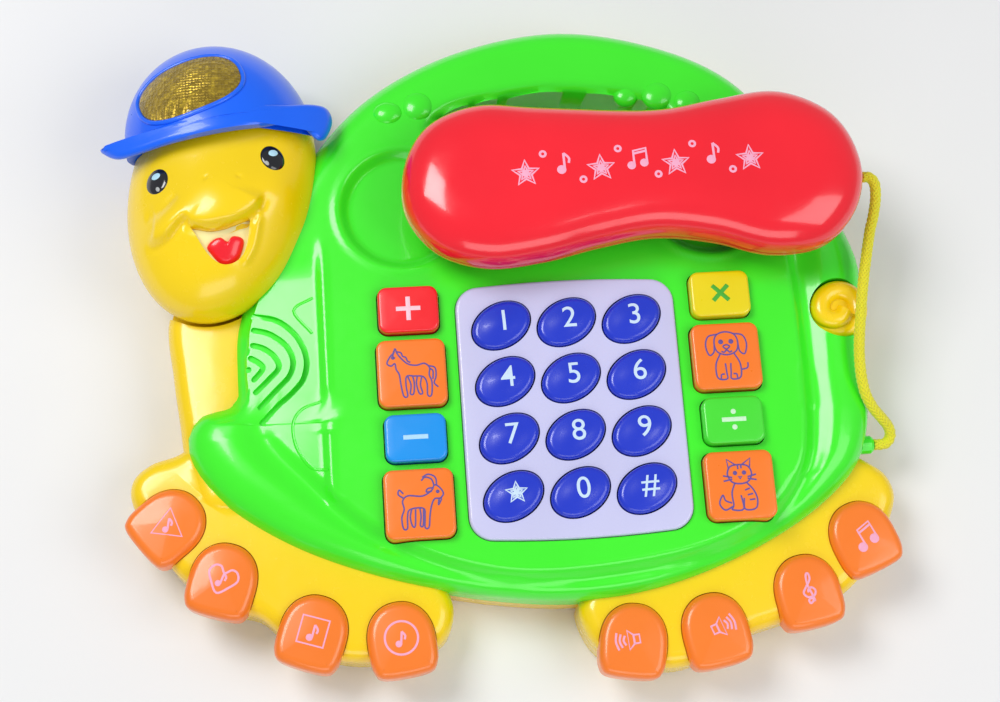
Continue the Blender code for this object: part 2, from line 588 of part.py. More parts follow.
panel = piece("keypad_panel", [(panel_outline(PANEL_LIP), PANEL_LOW), (panel_outline(PANEL_LIP), PANEL_LOW + FLANGE),
                               (panel_outline(), PANEL_LOW + FLANGE + 0.00003), (panel_outline(), panel_top - 0.0008),
                               (panel_outline(-0.0008), panel_top)], LILAC)
cut(shell_cover, cutter("panel_opening", slab(panel_outline(GAP), CEILING - 0.001, DECK_TOP + 0.001)))

key_top = panel_top + KEY_PROUD


def key_outline(size=0.0):
    return ellipse(KEY_LONG + 2 * size, KEY_SHORT + 2 * size, 16, KEY_TURN)


key_sections = [(key_outline(BUTTON_LIP), KEY_LOW), (key_outline(BUTTON_LIP), KEY_LOW + FLANGE),
                (key_outline(), KEY_LOW + FLANGE + 0.00003), (key_outline(), key_top - 0.0012),
                (key_outline(-0.0015), key_top)]
KEY_NAMES = (("key_1", "key_2", "key_3"), ("key_4", "key_5", "key_6"),
             ("key_7", "key_8", "key_9"), ("key_star", "key_0", "key_hash"))
for row, names in enumerate(KEY_NAMES):
    for column, name in enumerate(names):
        spot = Vector(((column - 1) * pitch_x, (1.5 - row) * pitch_y, 0))
        piece(name, key_sections, KEY_BLUE, spot)
        well = slab(key_outline(PLAY), PANEL_LOW - 0.001, panel_top + 0.001)
        cut(panel, cutter(f"{name}_well", well, spot))

# ------------------------------------------------------------------ side buttons
# Their columns fill what the panel leaves of the deck, up to their normal width.
side_room = DECK_HALF * ACROSS - panel_half_x - SIDE_MARGIN
side_scale = min(1.0, side_room / ANIMAL_BUTTON[0])
side_x = panel_half_x + SIDE_MARGIN + side_scale * ANIMAL_BUTTON[0] / 2
side_pitch = (SIGN_BUTTON[1] + ANIMAL_BUTTON[1]) / 2 + SIDE_SPACE
button_top = DECK_TOP + BUTTON_PROUD
SIDE_BUTTONS = (("button_plus", -1, 0, SIGN_BUTTON, RED), ("button_horse", -1, 1, ANIMAL_BUTTON, ORANGE),
                ("button_minus", -1, 2, SIGN_BUTTON, SIGN_BLUE), ("button_goat", -1, 3, ANIMAL_BUTTON, ORANGE),
                ("button_times", 1, 0, SIGN_BUTTON, SIGN_YELLOW), ("button_dog", 1, 1, ANIMAL_BUTTON, ORANGE),
                ("button_divide", 1, 2, SIGN_BUTTON, GREEN), ("button_cat", 1, 3, ANIMAL_BUTTON, ORANGE))
for name, side, row, (width, height), look in SIDE_BUTTONS:
    spot = Vector((side * side_x, SIDE_MIDDLE_Y + (1.5 - row) * side_pitch, 0))

    def outline(size):
        return rounded_rectangle(side_scale * width + 2 * size, height + 2 * size, 0.0035 + size)

    low, lip_top = KEY_LOW, CEILING - GAP
    piece(name, [(outline(BUTTON_LIP), low), (outline(BUTTON_LIP), lip_top), (outline(0), lip_top + 0.00003),
                 (outline(0), button_top - 0.0012), (outline(-0.0012), button_top)], look, spot)
    cut(shell_cover, cutter(f"{name}_hole", slab(outline(PLAY), CEILING - 0.001, DECK_TOP + 0.001), spot))

# ------------------------------------------------------------------ membrane, board, speaker
membrane_top = KEY_LOW - TRAVEL - GAP
membrane_low = membrane_top - 0.002
inner_half_x = side_x + side_scale * ANIMAL_BUTTON[0] / 2 + 0.001
inner_half_y = 1.5 * side_pitch + ANIMAL_BUTTON[1] / 2 - 0.002
membrane_place = Vector((0, SIDE_MIDDLE_Y, 0))
membrane_loop = rounded_rectangle(2 * inner_half_x, 2 * inner_half_y, 0.018)
piece("key_membrane", slab(membrane_loop, membrane_low, membrane_top), SILICONE, membrane_place)
piece("main_board", slab(membrane_loop, membrane_low - GAP - BOARD, membrane_low - GAP), BOARD_BROWN, membrane_place)
speaker_top = RIM_TOP - WALL - 0.003
speaker_low = speaker_top - SPEAKER_DEPTH
piece("speaker", [(ellipse(SPEAKER_RADIUS, SPEAKER_RADIUS, 24), speaker_low),
                  (ellipse(SPEAKER_RADIUS, SPEAKER_RADIUS, 24), speaker_low + 0.006),
                  (ellipse(2 * SPEAKER_RADIUS, 2 * SPEAKER_RADIUS, 24), speaker_top - 0.003),
                  (ellipse(2 * SPEAKER_RADIUS, 2 * SPEAKER_RADIUS, 24), speaker_top)], BLACK, SPEAKER_PLACE)

# ------------------------------------------------------------------ head and cap, built about the head's middle
along_face = Vector((0, 1, 0))
face_up = Vector((0, 0, 1))


def head_half(name, height, up, look):
    """One half of the head: a hollow half ellipsoid, ending at the cap line."""
    def half(shrink):
        bm = dome((0, 0, HEAD_MIDDLE_Z), (head_radii[0] - shrink, head_radii[1] - shrink, height - shrink))
        lean = Matrix.Translation(HEAD_SHIFT) @ Matrix.Rotation(HEAD_LEAN, 4, "Z")
        bmesh.ops.transform(bm, matrix=lean, verts=bm.verts)
        lift = GAP / 2 if shrink == 0 else -0.001
        keep_side(bm, Vector((0, 0, HEAD_MIDDLE_Z + up * lift)), -up * face_up)
        keep_side(bm, Vector((0, CAP_LINE - (GAP / 2 if shrink == 0 else -0.001), 0)), along_face)
        return bm

    shell = finish(half(0), name, look, HEAD_PLACE, HEAD_TURN)
    cut(shell, finish(half(WALL), f"{name}_inside", None, HEAD_PLACE, HEAD_TURN, cutter=True))
    return shell


head_half("head_front", HEAD_DOME, 1, YELLOW)
head_half("head_back", HEAD_BACK, -1, YELLOW)

cap_middle = Vector((CAP_SHIFT, CAP_LINE, HEAD_MIDDLE_Z))


def cap_dome(shrink, sink):
    bm = dome(cap_middle, tuple(size - shrink for size in CAP_SIZE))
    keep_side(bm, Vector((0, CAP_LINE + sink, 0)), -along_face)
    return bm


cap = finish(cap_dome(0, GAP / 2), "cap", BLUE, HEAD_PLACE, HEAD_TURN)
brim_low = HEAD_MIDDLE_Z + HEAD_DOME + GAP
brim_loop = smooth_loop([Vector((x * HEAD_ACROSS, CAP_LINE + y)) for x, y in (
    (-0.036, -0.001), (-0.020, -0.008), (0.002, -BRIM_OVERHANG), (0.022, -0.011), (0.040, -0.008),
    (0.050, -0.002), (0.046, 0.006), (0.024, 0.008), (-0.018, 0.008), (-0.035, 0.005))], 3)
brim = cutter("brim", [(grow(brim_loop, -0.001), brim_low), (brim_loop, brim_low + 0.001),
                       (brim_loop, brim_low + 0.0022), (grow(brim_loop, -0.001), brim_low + 0.003)],
              HEAD_PLACE, HEAD_TURN)
join(cap, brim)
cut(cap, finish(cap_dome(WALL, -0.001), "cap_inside", None, HEAD_PLACE, HEAD_TURN, cutter=True))

# ------------------------------------------------------------------ lamp lens and its board in the cap
LENS_SIZE = (0.038, 0.025)
LENS_PLACE = Vector((0.0015, CAP_LINE + 0.018))
LENS_TURN = math.radians(5)


def lens_outline(size):
    return [LENS_PLACE + p for p in ellipse(LENS_SIZE[0] + 2 * size, LENS_SIZE[1] + 2 * size, 28, LENS_TURN)]


lens_low = HEAD_MIDDLE_Z + 0.010
cut(cap, cutter("lens_opening", slab(lens_outline(GAP), lens_low, 0.09), HEAD_PLACE, HEAD_TURN))
LENS_PROUD = 0.0008
lens = finish(cap_dome(-LENS_PROUD, GAP / 2), "cap_lens", GOLD, HEAD_PLACE, HEAD_TURN)
lens_column = cutter("lens_column", slab(lens_outline(0), lens_low, 0.09), HEAD_PLACE, HEAD_TURN)
boolean(lens, lens_column, "INTERSECT")
cut(lens, finish(cap_dome(WALL, -0.001), "lens_inside", None, HEAD_PLACE, HEAD_TURN, cutter=True))
lamp_loop = [LENS_PLACE + p for p in ellipse(0.018, 0.014, 20)]
piece("cap_lamp_board", slab(lamp_loop, HEAD_MIDDLE_Z + 0.008, HEAD_MIDDLE_Z + 0.008 + BOARD), BOARD_BROWN,
      HEAD_PLACE, HEAD_TURN)

# ------------------------------------------------------------------ handset
handset_across = HANDSET_LENGTH / 0.177
handset_along = HANDSET_LOBE / 0.065
handset_loop = smooth_loop([Vector((x * handset_across, y * handset_along)) / 1000 for x, y in (
    (-88, -9), (-77, -25), (-58, -32), (-36, -30.5), (-15, -26), (7, -23), (29, -26), (50, -32),
    (70, -30), (83, -19), (88.5, -3), (85, 14), (75, 26), (57, 33), (34, 30.5), (8, 27),
    (-34, 30), (-58, 32), (-77, 25), (-87, 10))], 2)
grip_low = DECK_TOP + GAP + HANDSET_FOOT
front_low = HANDSET_SEAM + GAP
front_sections = [(handset_loop, front_low), (handset_loop, front_low + 0.004),
                  (grow(handset_loop, -0.0022), HANDSET_TOP - 0.006), (grow(handset_loop, -0.007), HANDSET_TOP - 0.002),
                  (grow(handset_loop, -0.014), HANDSET_TOP)]
handset_front = piece("handset_front", front_sections, RED, HANDSET_PLACE)
handset_in = grow(handset_loop, -WALL)
cut(handset_front, cutter("handset_front_inside", [
    (handset_in, front_low - 0.001), (handset_in, front_low + 0.003),
    (grow(handset_in, -0.003), HANDSET_TOP - 0.0065 - WALL), (grow(handset_in, -0.010), HANDSET_TOP - WALL)],
    HANDSET_PLACE))

back_sections = [(grow(handset_loop, -0.006), grip_low), (grow(handset_loop, -0.002), grip_low + 0.0015),
                 (handset_loop, grip_low + 0.005), (handset_loop, HANDSET_SEAM)]
handset_back = piece("handset_back", back_sections, RED, HANDSET_PLACE)
for side in (-1, 1):
    spot = HANDSET_PLACE + Vector((side * POD_PLACE, 0, 0))
    name = "left" if side < 0 else "right"
    pod_low = DECK_TOP + GAP
    join(handset_back, cutter(f"{name}_pod", [
        (ellipse(2 * POD_RADIUS - 0.006, 2 * POD_RADIUS - 0.006, 24), pod_low),
        (ellipse(2 * POD_RADIUS, 2 * POD_RADIUS, 24), pod_low + 0.003),
        (ellipse(2 * POD_RADIUS, 2 * POD_RADIUS, 24), grip_low + 0.003)], spot))
cut(handset_back, cutter("handset_back_inside", [
    (grow(handset_loop, -0.006 - WALL), grip_low + WALL), (grow(handset_in, -0.001), grip_low + 0.005),
    (handset_in, HANDSET_SEAM + 0.001)], HANDSET_PLACE))
for side in (-1, 1):
    spot = HANDSET_PLACE + Vector((side * POD_PLACE, 0, 0))
    name = "left" if side < 0 else "right"
    cut(handset_back, cutter(f"{name}_pod_inside", disc(POD_RADIUS - 0.003 - WALL, DECK_TOP + GAP + WALL,
                                                        grip_low + WALL + 0.001, 24), spot))

# ------------------------------------------------------------------ cord and its two bushes
handset_end = HANDSET_PLACE.x + HANDSET_LENGTH / 2
deck_rise = DECK_TOP - 0.038
CORD_MIDDLE = 10          # the route's point over the shell's edge
cord_moves = (Vector((handset_end - 0.117, HANDSET_PLACE.y - 0.084, deck_rise)),
              Vector((0.112 * (ACROSS - 1), 0.010 * (ALONG - 1), deck_rise)),
              BUSH_PLACE - Vector((0.1145, -0.0172, 0.0203)))


def cord_spot(number):
    """A point of the rope's route, moved with the handset's end, the shell's edge and the lower bush.

    The first points all move with the handset and the last ones with the bush, so the rope stays straight there.
    """
    if number <= CORD_MIDDLE:
        return Vector(CORD_ROUTE[number]) + cord_moves[0].lerp(cord_moves[1], max(0, number - 2) / (CORD_MIDDLE - 2))
    share = min(1.0, (number - CORD_MIDDLE) / (CORD_MIDDLE - 2)) ** 1.5
    return Vector(CORD_ROUTE[number]) + cord_moves[1].lerp(cord_moves[2], share)


cord_route = [cord_spot(number) for number in range(len(CORD_ROUTE))]
cord_start, cord_end = cord_route[0], cord_route[-1]


def bush(name, inner_x, outer_x, centre, look):
    """A short bush along X, with a small bevel at its outer end."""
    profile = [(BUSH_RADIUS, inner_x), (BUSH_RADIUS, outer_x - 0.001), (BUSH_RADIUS - 0.0008, outer_x)]
    bm = stack([(ellipse(2 * radius, 2 * radius, 14), height) for radius, height in profile])
    bmesh.ops.transform(bm, matrix=LAY_ALONG_X, verts=bm.verts)
    return finish(bm, name, look, (0, centre.y, centre.z))


def bush_hole(name, inner_x, outer_x, centre):
    bm = stack(disc(BUSH_RADIUS + GAP, inner_x, outer_x, 14))
    bmesh.ops.transform(bm, matrix=LAY_ALONG_X, verts=bm.verts)
    return finish(bm, name, None, (0, centre.y, centre.z), cutter=True)


bush("handset_bush", handset_end - 0.008, cord_start.x - 2 * GAP, cord_start, RED)
cut(handset_back, bush_hole("handset_bush_hole", handset_end - 0.010, handset_end + 0.01, cord_start))
bush("cord_bush", BUSH_PLACE.x - BUSH_LENGTH, cord_end.x - 2 * GAP, cord_end, GREEN)
cut(shell_cover, bush_hole("cord_bush_hole", BUSH_PLACE.x - BUSH_LENGTH - 0.003, BUSH_PLACE.x + 0.02, cord_end))


def smooth_path(points, spacing):
    """Points evenly spaced along a smooth open curve through the route's points."""
    fine = []
    padded = [points[0] * 2 - points[1], *points, points[-1] * 2 - points[-2]]
    for before, start, end, after in zip(padded, padded[1:], padded[2:], padded[3:]):
        for step in range(10):
            t = step / 10
            fine.append(0.5 * (2 * start + (end - before) * t + (2 * before - 5 * start + 4 * end - after) * t ** 2
                               + (after - before + 3 * start - 3 * end) * t ** 3))
    fine.append(points[-1])
    length = sum((b - a).length for a, b in zip(fine, fine[1:]))
    count = round(length / spacing)
    wanted = [length * k / count for k in range(count + 1)]
    path, passed = [fine[0]], 0.0
    for start, end in zip(fine, fine[1:]):
        step = (end - start).length
        while len(path) < count and passed + step >= wanted[len(path)]:
            path.append(start + (end - start) * (wanted[len(path)] - passed) / step)
        passed += step
    return path + [fine[-1]]


path = smooth_path(cord_route, 0.75 * CORD_DIAMETER)
curve = bpy.data.curves.new("cord", "CURVE")
curve.dimensions = "3D"
curve.bevel_depth = CORD_DIAMETER / 2
curve.bevel_resolution = 2
curve.use_fill_caps = True
curve.materials.append(CORD_YELLOW)
spline = curve.splines.new("POLY")
spline.points.add(len(path) - 1)
for spline_point, spot in zip(spline.points, path):
    spline_point.co = (*spot, 1)
parts.objects.link(bpy.data.objects.new("cord", curve))
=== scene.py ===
# %% [markdown]
# # A turtle-shaped toy telephone
#
# This file dresses a working model of a toy telephone. The model, made earlier as plain solids, says where
# every piece is and how it moves. Here each visible piece gets its real surface and its finish.
# The toy lies on its back: +X runs along the rows of keys, +Y towards the carry handle, +Z out of the face.

# %% Loading the frame
import math

import bmesh
import bpy
from mathutils import Matrix, Vector
from mathutils.bvhtree import BVHTree


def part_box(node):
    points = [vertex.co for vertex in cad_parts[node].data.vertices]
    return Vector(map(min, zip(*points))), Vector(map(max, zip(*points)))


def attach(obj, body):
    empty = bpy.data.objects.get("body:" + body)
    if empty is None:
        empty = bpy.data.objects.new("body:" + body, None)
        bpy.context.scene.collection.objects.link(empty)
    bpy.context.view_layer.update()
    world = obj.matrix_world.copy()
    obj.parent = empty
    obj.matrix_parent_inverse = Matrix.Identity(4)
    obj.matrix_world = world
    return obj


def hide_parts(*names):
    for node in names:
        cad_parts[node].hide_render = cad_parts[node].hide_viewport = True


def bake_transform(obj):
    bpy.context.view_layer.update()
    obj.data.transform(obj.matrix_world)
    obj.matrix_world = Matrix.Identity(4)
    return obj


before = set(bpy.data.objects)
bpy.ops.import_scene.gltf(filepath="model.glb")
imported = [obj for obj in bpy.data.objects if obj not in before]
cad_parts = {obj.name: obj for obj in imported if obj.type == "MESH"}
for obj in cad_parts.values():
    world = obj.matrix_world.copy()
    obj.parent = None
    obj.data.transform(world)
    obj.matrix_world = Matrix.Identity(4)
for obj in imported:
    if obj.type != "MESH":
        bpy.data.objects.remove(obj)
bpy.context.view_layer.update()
MM = 0.001
scene = bpy.context.scene


# %% [markdown]
# ## The camera and the floor
#
# A toy like this is judged from above, so the camera looks down at it with a slight tilt. The lens is long
# enough to keep the outlines straight. A plain pale floor and large soft lights let the plastic show its gloss.

# %% Camera, floor and lights
def add_camera():
    data = bpy.data.cameras.new("camera")
    data.lens = 64.8
    data.sensor_width = 36
    data.clip_end = 20
    camera = bpy.data.objects.new("camera", data)
    camera.location = (-0.0778, -0.1584, 0.6961)
    camera.rotation_mode = "ZYX"
    camera.rotation_euler = [math.radians(a) for a in (15.458, -4.338, -2.983)]
    scene.collection.objects.link(camera)
    scene.camera = camera


def add_light(name, place, target, size, watts, colour=(1, 1, 1)):
    data = bpy.data.lights.new(name, "AREA")
    data.shape = "RECTANGLE"
    data.size, data.size_y = size
    data.energy = watts
    data.color = colour
    lamp = bpy.data.objects.new(name, data)
    lamp.location = place
    lamp.rotation_euler = (Vector(target) - Vector(place)).to_track_quat("-Z", "Y").to_euler()
    scene.collection.objects.link(lamp)


add_camera()
add_light("key_light", (-0.55, 0.35, 1.0), (0, 0.03, 0), (0.5, 0.5), 7.5)
add_light("fill_light", (0.7, -0.25, 0.9), (0, 0.03, 0), (0.7, 0.7), 4.2)
add_light("front_light", (0.0, -0.9, 0.55), (0, 0, 0), (0.9, 0.4), 2.4)


# %% [markdown]
# ## Writing shader maths as Python
#
# A material is a graph of nodes. Wrapping a socket in a small class lets an expression such as
# `0.3 + 0.1 * noise` add its own Math nodes, and one method makes any other node.

# %% A socket that can be added and multiplied
class Flow:
    def __init__(self, tree, socket):
        self.tree = tree
        self.socket = socket

    def node(self, kind, settings=None, output=0, **inputs):
        made = self.tree.nodes.new(kind)
        for key, value in (settings or {}).items():
            setattr(made, key, value)
        for key, value in inputs.items():
            name = key.replace("_", " ")
            target = made.inputs[int(key[1:])] if key[0] == "i" and key[1:].isdigit() else made.inputs[name]
            if isinstance(value, Flow):
                self.tree.links.new(value.socket, target)
            else:
                target.default_value = value
        return Flow(self.tree, made.outputs[output])

    def math(self, operation, first, second=0.0):
        return self.node("ShaderNodeMath", {"operation": operation}, i0=first, i1=second)

    def __add__(self, other):
        return self.math("ADD", self, other)

    def __mul__(self, other):
        return self.math("MULTIPLY", self, other)

    __radd__ = __add__
    __rmul__ = __mul__


def new_material(name):
    """A material, its shader, and a Flow of Object coordinates to build on."""
    material = bpy.data.materials.new(name)
    material.use_nodes = True
    tree = material.node_tree
    shader = tree.nodes["Principled BSDF"]
    coordinates = tree.nodes.new("ShaderNodeTexCoord")
    return material, shader, Flow(tree, coordinates.outputs["Object"])


def feed(flow, shader, socket):
    flow.tree.links.new(flow.socket, shader.inputs[socket])


def blend_colour(flow, amount, first, second):
    mixed = flow.node("ShaderNodeMix", {"data_type": "RGBA"}, i0=amount, i6=(*first, 1), i7=(*second, 1))
    return Flow(flow.tree, mixed.socket.node.outputs[2])


# %% [markdown]
# ## Moulded plastic
#
# The toy's covers are injection-moulded ABS, coloured through. Real mouldings aren't perfectly even: the
# colour has slow flow marks, the gloss varies where hands and the mould polished it, and the surface has a
# faint orange peel. Three noises at three scales give that: centimetres for colour, millimetres for gloss
# and tenths for the bump.

# %% The plastic finishes
def plastic(name, colour, roughness=0.25, peel=0.12, coat=0.35, depth=0.12):
    material, shader, place = new_material(name)
    slow = place.node("ShaderNodeTexNoise", Vector=place, Scale=22.0, Detail=3.0)
    fine = place.node("ShaderNodeTexNoise", Vector=place, Scale=240.0, Detail=4.0)
    grain = place.node("ShaderNodeTexNoise", Vector=place, Scale=1500.0, Detail=2.0)
    deep = tuple(channel * (1 - depth) for channel in colour)
    light = tuple(min(1.0, channel * (1 + depth / 2) + depth / 30) for channel in colour)
    feed(blend_colour(place, slow, deep, light), shader, "Base Color")
    feed(roughness - 0.05 + 0.1 * fine + 0.04 * slow, shader, "Roughness")
    bump = place.node("ShaderNodeBump", Height=fine + 0.5 * grain, Strength=peel, Distance=0.0002)
    feed(bump, shader, "Normal")
    shader.inputs["Coat Weight"].default_value = coat
    shader.inputs["Coat Roughness"].default_value = 0.08
    shader.inputs["IOR"].default_value = 1.5
    return material


green = plastic("shell_green", (0.05, 0.90, 0.02), 0.22, 0.05, depth=0.07)
yellow = plastic("body_yellow", (0.95, 0.66, 0.0), 0.24, 0.05, depth=0.05)
cap_blue = plastic("cap_blue", (0.0, 0.13, 0.98), 0.28, 0.06)
key_blue = plastic("key_blue", (0.008, 0.035, 0.60), 0.24)
lilac = plastic("panel_lilac", (0.60, 0.60, 0.86), 0.3)
orange = plastic("toe_orange", (1.0, 0.21, 0.015), 0.28, 0.06)
red = plastic("handset_red", (0.94, 0.006, 0.022), 0.16, coat=0.6)
plus_red = plastic("plus_red", (0.93, 0.012, 0.02), 0.28)
minus_blue = plastic("minus_blue", (0.0, 0.30, 0.86), 0.28)
times_yellow = plastic("times_yellow", (0.86, 0.72, 0.0), 0.28)
divide_green = plastic("divide_green", (0.06, 0.77, 0.03), 0.28)
black = plastic("switch_black", (0.02, 0.02, 0.022), 0.5, coat=0.0)
eye_black = plastic("eye_black", (0.004, 0.004, 0.008), 0.12, coat=0.8)
tongue_red = plastic("tongue_red", (0.90, 0.006, 0.02), 0.22)
cream = plastic("mouth_cream", (0.98, 0.90, 0.42), 0.35)


# %% [markdown]
# ## Printed paint and the other finishes
#
# The digits, notes and animals are pad-printed: a thin layer of paint, flatter than the plastic around it,
# with slightly uneven ink. The floor is matt. The rope is spun fibre, so it is rough with a soft sheen.

# %% Paint, rope, steel, lens and floor
def paint(name, colour, roughness=0.5):
    material, shader, place = new_material(name)
    ink = place.node("ShaderNodeTexNoise", Vector=place, Scale=900.0, Detail=3.0)
    thin = tuple(channel * 0.86 for channel in colour)
    feed(blend_colour(place, ink, thin, colour), shader, "Base Color")
    feed(roughness + 0.12 * ink, shader, "Roughness")
    return material


def rope_finish():
    material, shader, place = new_material("cord_yellow")
    fibre = place.node("ShaderNodeTexNoise", Vector=place, Scale=2600.0, Detail=3.0)
    feed(blend_colour(place, fibre, (0.62, 0.56, 0.0), (0.93, 0.90, 0.02)), shader, "Base Color")
    feed(0.55 + 0.3 * fibre, shader, "Roughness")
    feed(place.node("ShaderNodeBump", Height=fibre, Strength=0.5, Distance=0.0002), shader, "Normal")
    shader.inputs["Sheen Weight"].default_value = 0.35
    return material


def steel_finish():
    material, shader, place = new_material("screw_steel")
    turned = place.node("ShaderNodeTexNoise", Vector=place, Scale=1800.0, Detail=2.0)
    feed(blend_colour(place, turned, (0.42, 0.42, 0.44), (0.62, 0.62, 0.64)), shader, "Base Color")
    feed(0.25 + 0.2 * turned, shader, "Roughness")
    shader.inputs["Metallic"].default_value = 1.0
    return material


def lens_finish():
    """Clear gold plastic over small square prisms; the glints where they catch the light one by one are painted into
    the base colour.
    """
    material, shader, place = new_material("lens_gold")
    cells = place.node("ShaderNodeTexVoronoi", {"distance": "CHEBYCHEV"}, output=0, Vector=place,
                       Scale=820.0, Randomness=0.25)
    painted_glint_cells = place.node("ShaderNodeTexVoronoi", {"distance": "CHEBYCHEV"}, output=1, Vector=place,
                      Scale=820.0, Randomness=0.25)
    spark = place.node("ShaderNodeTexNoise", Vector=place, Scale=420.0, Detail=1.0)
    painted_glow = place.node("ShaderNodeTexNoise", Vector=place, Scale=60.0, Detail=2.0)
    # Painted glints: bright prism cells and slow patches of painted glow in the base colour stand for light the lens
    # catches.
    light = place.node("ShaderNodeMath", {"operation": "POWER"}, i0=0.5 * painted_glint_cells + 0.5 * spark, i1=3.0)
    feed(blend_colour(place, light + 0.3 * painted_glow, (0.15, 0.085, 0.0), (0.95, 0.66, 0.03)), shader, "Base Color")
    feed(0.12 + 0.25 * spark, shader, "Roughness")
    bump = place.node("ShaderNodeBump", Height=cells, Strength=0.9, Distance=0.0006)
    feed(bump, shader, "Normal")
    shader.inputs["Metallic"].default_value = 0.55
    shader.inputs["Coat Weight"].default_value = 0.8
    return material


def floor_finish():
    material, shader, place = new_material("floor_pale")
    mottle = place.node("ShaderNodeTexNoise", Vector=place, Scale=8.0, Detail=4.0)
    feed(blend_colour(place, mottle, (0.80, 0.80, 0.80), (0.84, 0.84, 0.84)), shader, "Base Color")
    shader.inputs["Roughness"].default_value = 0.8
    return material


pink = paint("print_pink", (0.95, 0.42, 0.60))
digit_pale = paint("print_pale_blue", (0.62, 0.80, 0.98))
print_blue = paint("print_purple_blue", (0.13, 0.08, 0.33))
sign_pink = paint("sign_pale_pink", (0.95, 0.62, 0.72))
sign_blue = paint("sign_pale_blue", (0.45, 0.75, 0.98))
sign_green = paint("sign_green", (0.06, 0.45, 0.03))
sign_mint = paint("sign_mint", (0.62, 0.95, 0.62))
# Painted highlights for the eyes: a pale blue glint and a grey glint, colour standing for light the glossy eyes
# reflect.
painted_eye_glint = paint("painted_eye_glint", (0.50, 0.80, 0.95))
painted_eye_grey_glint = paint("painted_eye_grey_glint", (0.45, 0.47, 0.45))
rope_yellow = rope_finish()
steel = steel_finish()
lens_gold = lens_finish()
floor_pale = floor_finish()


def add_floor():
    bm = bmesh.new()
    bmesh.ops.create_grid(bm, x_segments=2, y_segments=2, size=3.0)
    mesh = bpy.data.meshes.new("floor")
    bm.to_mesh(mesh)
    bm.free()
    mesh.materials.append(floor_pale)
    floor = bpy.data.objects.new("floor", mesh)
    scene.collection.objects.link(floor)


add_floor()
world = bpy.data.worlds.new("studio")
world.use_nodes = True
world.node_tree.nodes["Background"].inputs["Color"].default_value = (0.95, 0.97, 1.0, 1)
world.node_tree.nodes["Background"].inputs["Strength"].default_value = 0.36
scene.world = world
scene.view_settings.view_transform = "Standard"


# %% [markdown]
# ## Helpers for drawing outlines
#
# Most covers of this toy are a smooth outline drawn up into a body. A few listed points give the
# outline, and a Catmull-Rom curve runs through them. Moving a loop along its own normals gives the narrower
# loops that a rounded edge needs.

# %% Loops
def between(before, start, end, after, t):
    """The place t of the way from start to end, on a curve through all four."""
    return 0.5 * (2 * start + (end - before) * t
                  + (2 * before - 5 * start + 4 * end - after) * t ** 2
                  + (after - before + 3 * start - 3 * end) * t ** 3)


def smooth_loop(points, steps=8, scale=MM):
    """A closed smooth curve through points in millimetres, anticlockwise, in metres."""
    spots = [Vector(p[:2]) * scale for p in points]
    loop = []
    for i, start in enumerate(spots):
        before, end, after = spots[i - 1], spots[(i + 1) % len(spots)], spots[(i + 2) % len(spots)]
        loop += [between(before, start, end, after, step / steps) for step in range(steps)]
    return loop


def on_face(points, steps=6):
    """A smooth loop through millimetre points in the face's own directions."""
    return smooth_loop([head_spot(x * MM, y * MM) for x, y in points], steps, 1.0)


def grow(loop, distance):
    """The loop moved outwards, or inwards for a negative distance."""
    grown = []
    for i, point in enumerate(loop):
        into = (point - loop[i - 1]).normalized()
        out = (loop[(i + 1) % len(loop)] - point).normalized()
        along = (into + out).normalized()
        grown.append(point + Vector((along.y, -along.x)) * distance / max(0.6, into.dot(along)))
    return grown


def ellipse(width, height, count=48, turn=0.0, centre=(0, 0)):
    spin = Matrix.Rotation(turn, 2)
    angles = [2 * math.pi * k / count for k in range(count)]
    return [Vector(centre) + spin @ Vector((width / 2 * math.cos(a), height / 2 * math.sin(a))) for a in angles]


def disc(size, count, centre):
    return ellipse(size, size, count, centre=centre)


def rounded_rectangle(width, height, radius, steps=6, centre=(0, 0)):
    loop = []
    for side_x, side_y, first in ((1, -1, -90), (1, 1, 0), (-1, 1, 90), (-1, -1, 180)):
        corner = Vector(centre) + Vector((side_x * (width / 2 - radius), side_y * (height / 2 - radius)))
        for step in range(steps + 1):
            angle = math.radians(first + 90 * step / steps)
            loop.append(corner + radius * Vector((math.cos(angle), math.sin(angle))))
    return loop


def even_steps(line, count):
    """Points at equal steps along an open line, without its end."""
    lengths = [(b - a).length for a, b in zip(line, line[1:])]
    total, passed, index, even = sum(lengths), 0.0, 0, []
    for k in range(count):
        wanted = total * k / count
        while passed + lengths[index] < wanted:
            passed += lengths[index]
            index += 1
        even.append(line[index].lerp(line[index + 1], (wanted - passed) / lengths[index]))
    return even


def even_loop(loop, count):
    """The same closed loop with its points evenly spaced."""
    return even_steps([*loop, loop[0]], count)


# %% [markdown]
# ## Helpers for solids
#
# A body grows from one face: each new section is a discrete extrusion of the last face, moved to its own
# loop. The same helper makes keys, feet, the handset and the shell. Booleans then cut the holes, and prints
# are laid on a surface by looking straight down for it.

# %% Sections, pieces and cuts
def lift(loop, height):
    return [Vector((p.x, p.y, height)) for p in loop]


def rise(sections):
    """A closed bmesh drawn up through sections, lists of 3-D points with equal counts."""
    bm = bmesh.new()
    face = bm.faces.new([bm.verts.new(p) for p in sections[0]])
    for section in sections[1:]:
        face = bmesh.ops.extrude_discrete_faces(bm, faces=[face])["faces"][0]
        for vertex, point in zip(face.verts, section):
            vertex.co = point
    bmesh.ops.holes_fill(bm, edges=bm.edges)
    bmesh.ops.recalc_face_normals(bm, faces=bm.faces)
    return bm


def round_edge(loop, low, high, radius, steps=6, fall=0.0):
    """Sections of an upright wall with a rounded top edge: fall lowers the crown's own edge."""
    sections = [lift(loop, low), lift(loop, high - radius)]
    for step in range(1, steps + 1):
        angle = math.pi / 2 * step / steps
        inset = radius * (1 - math.cos(angle))
        sections.append(lift(grow(loop, -inset), high - radius * (1 - math.sin(angle)) - fall))
    return sections


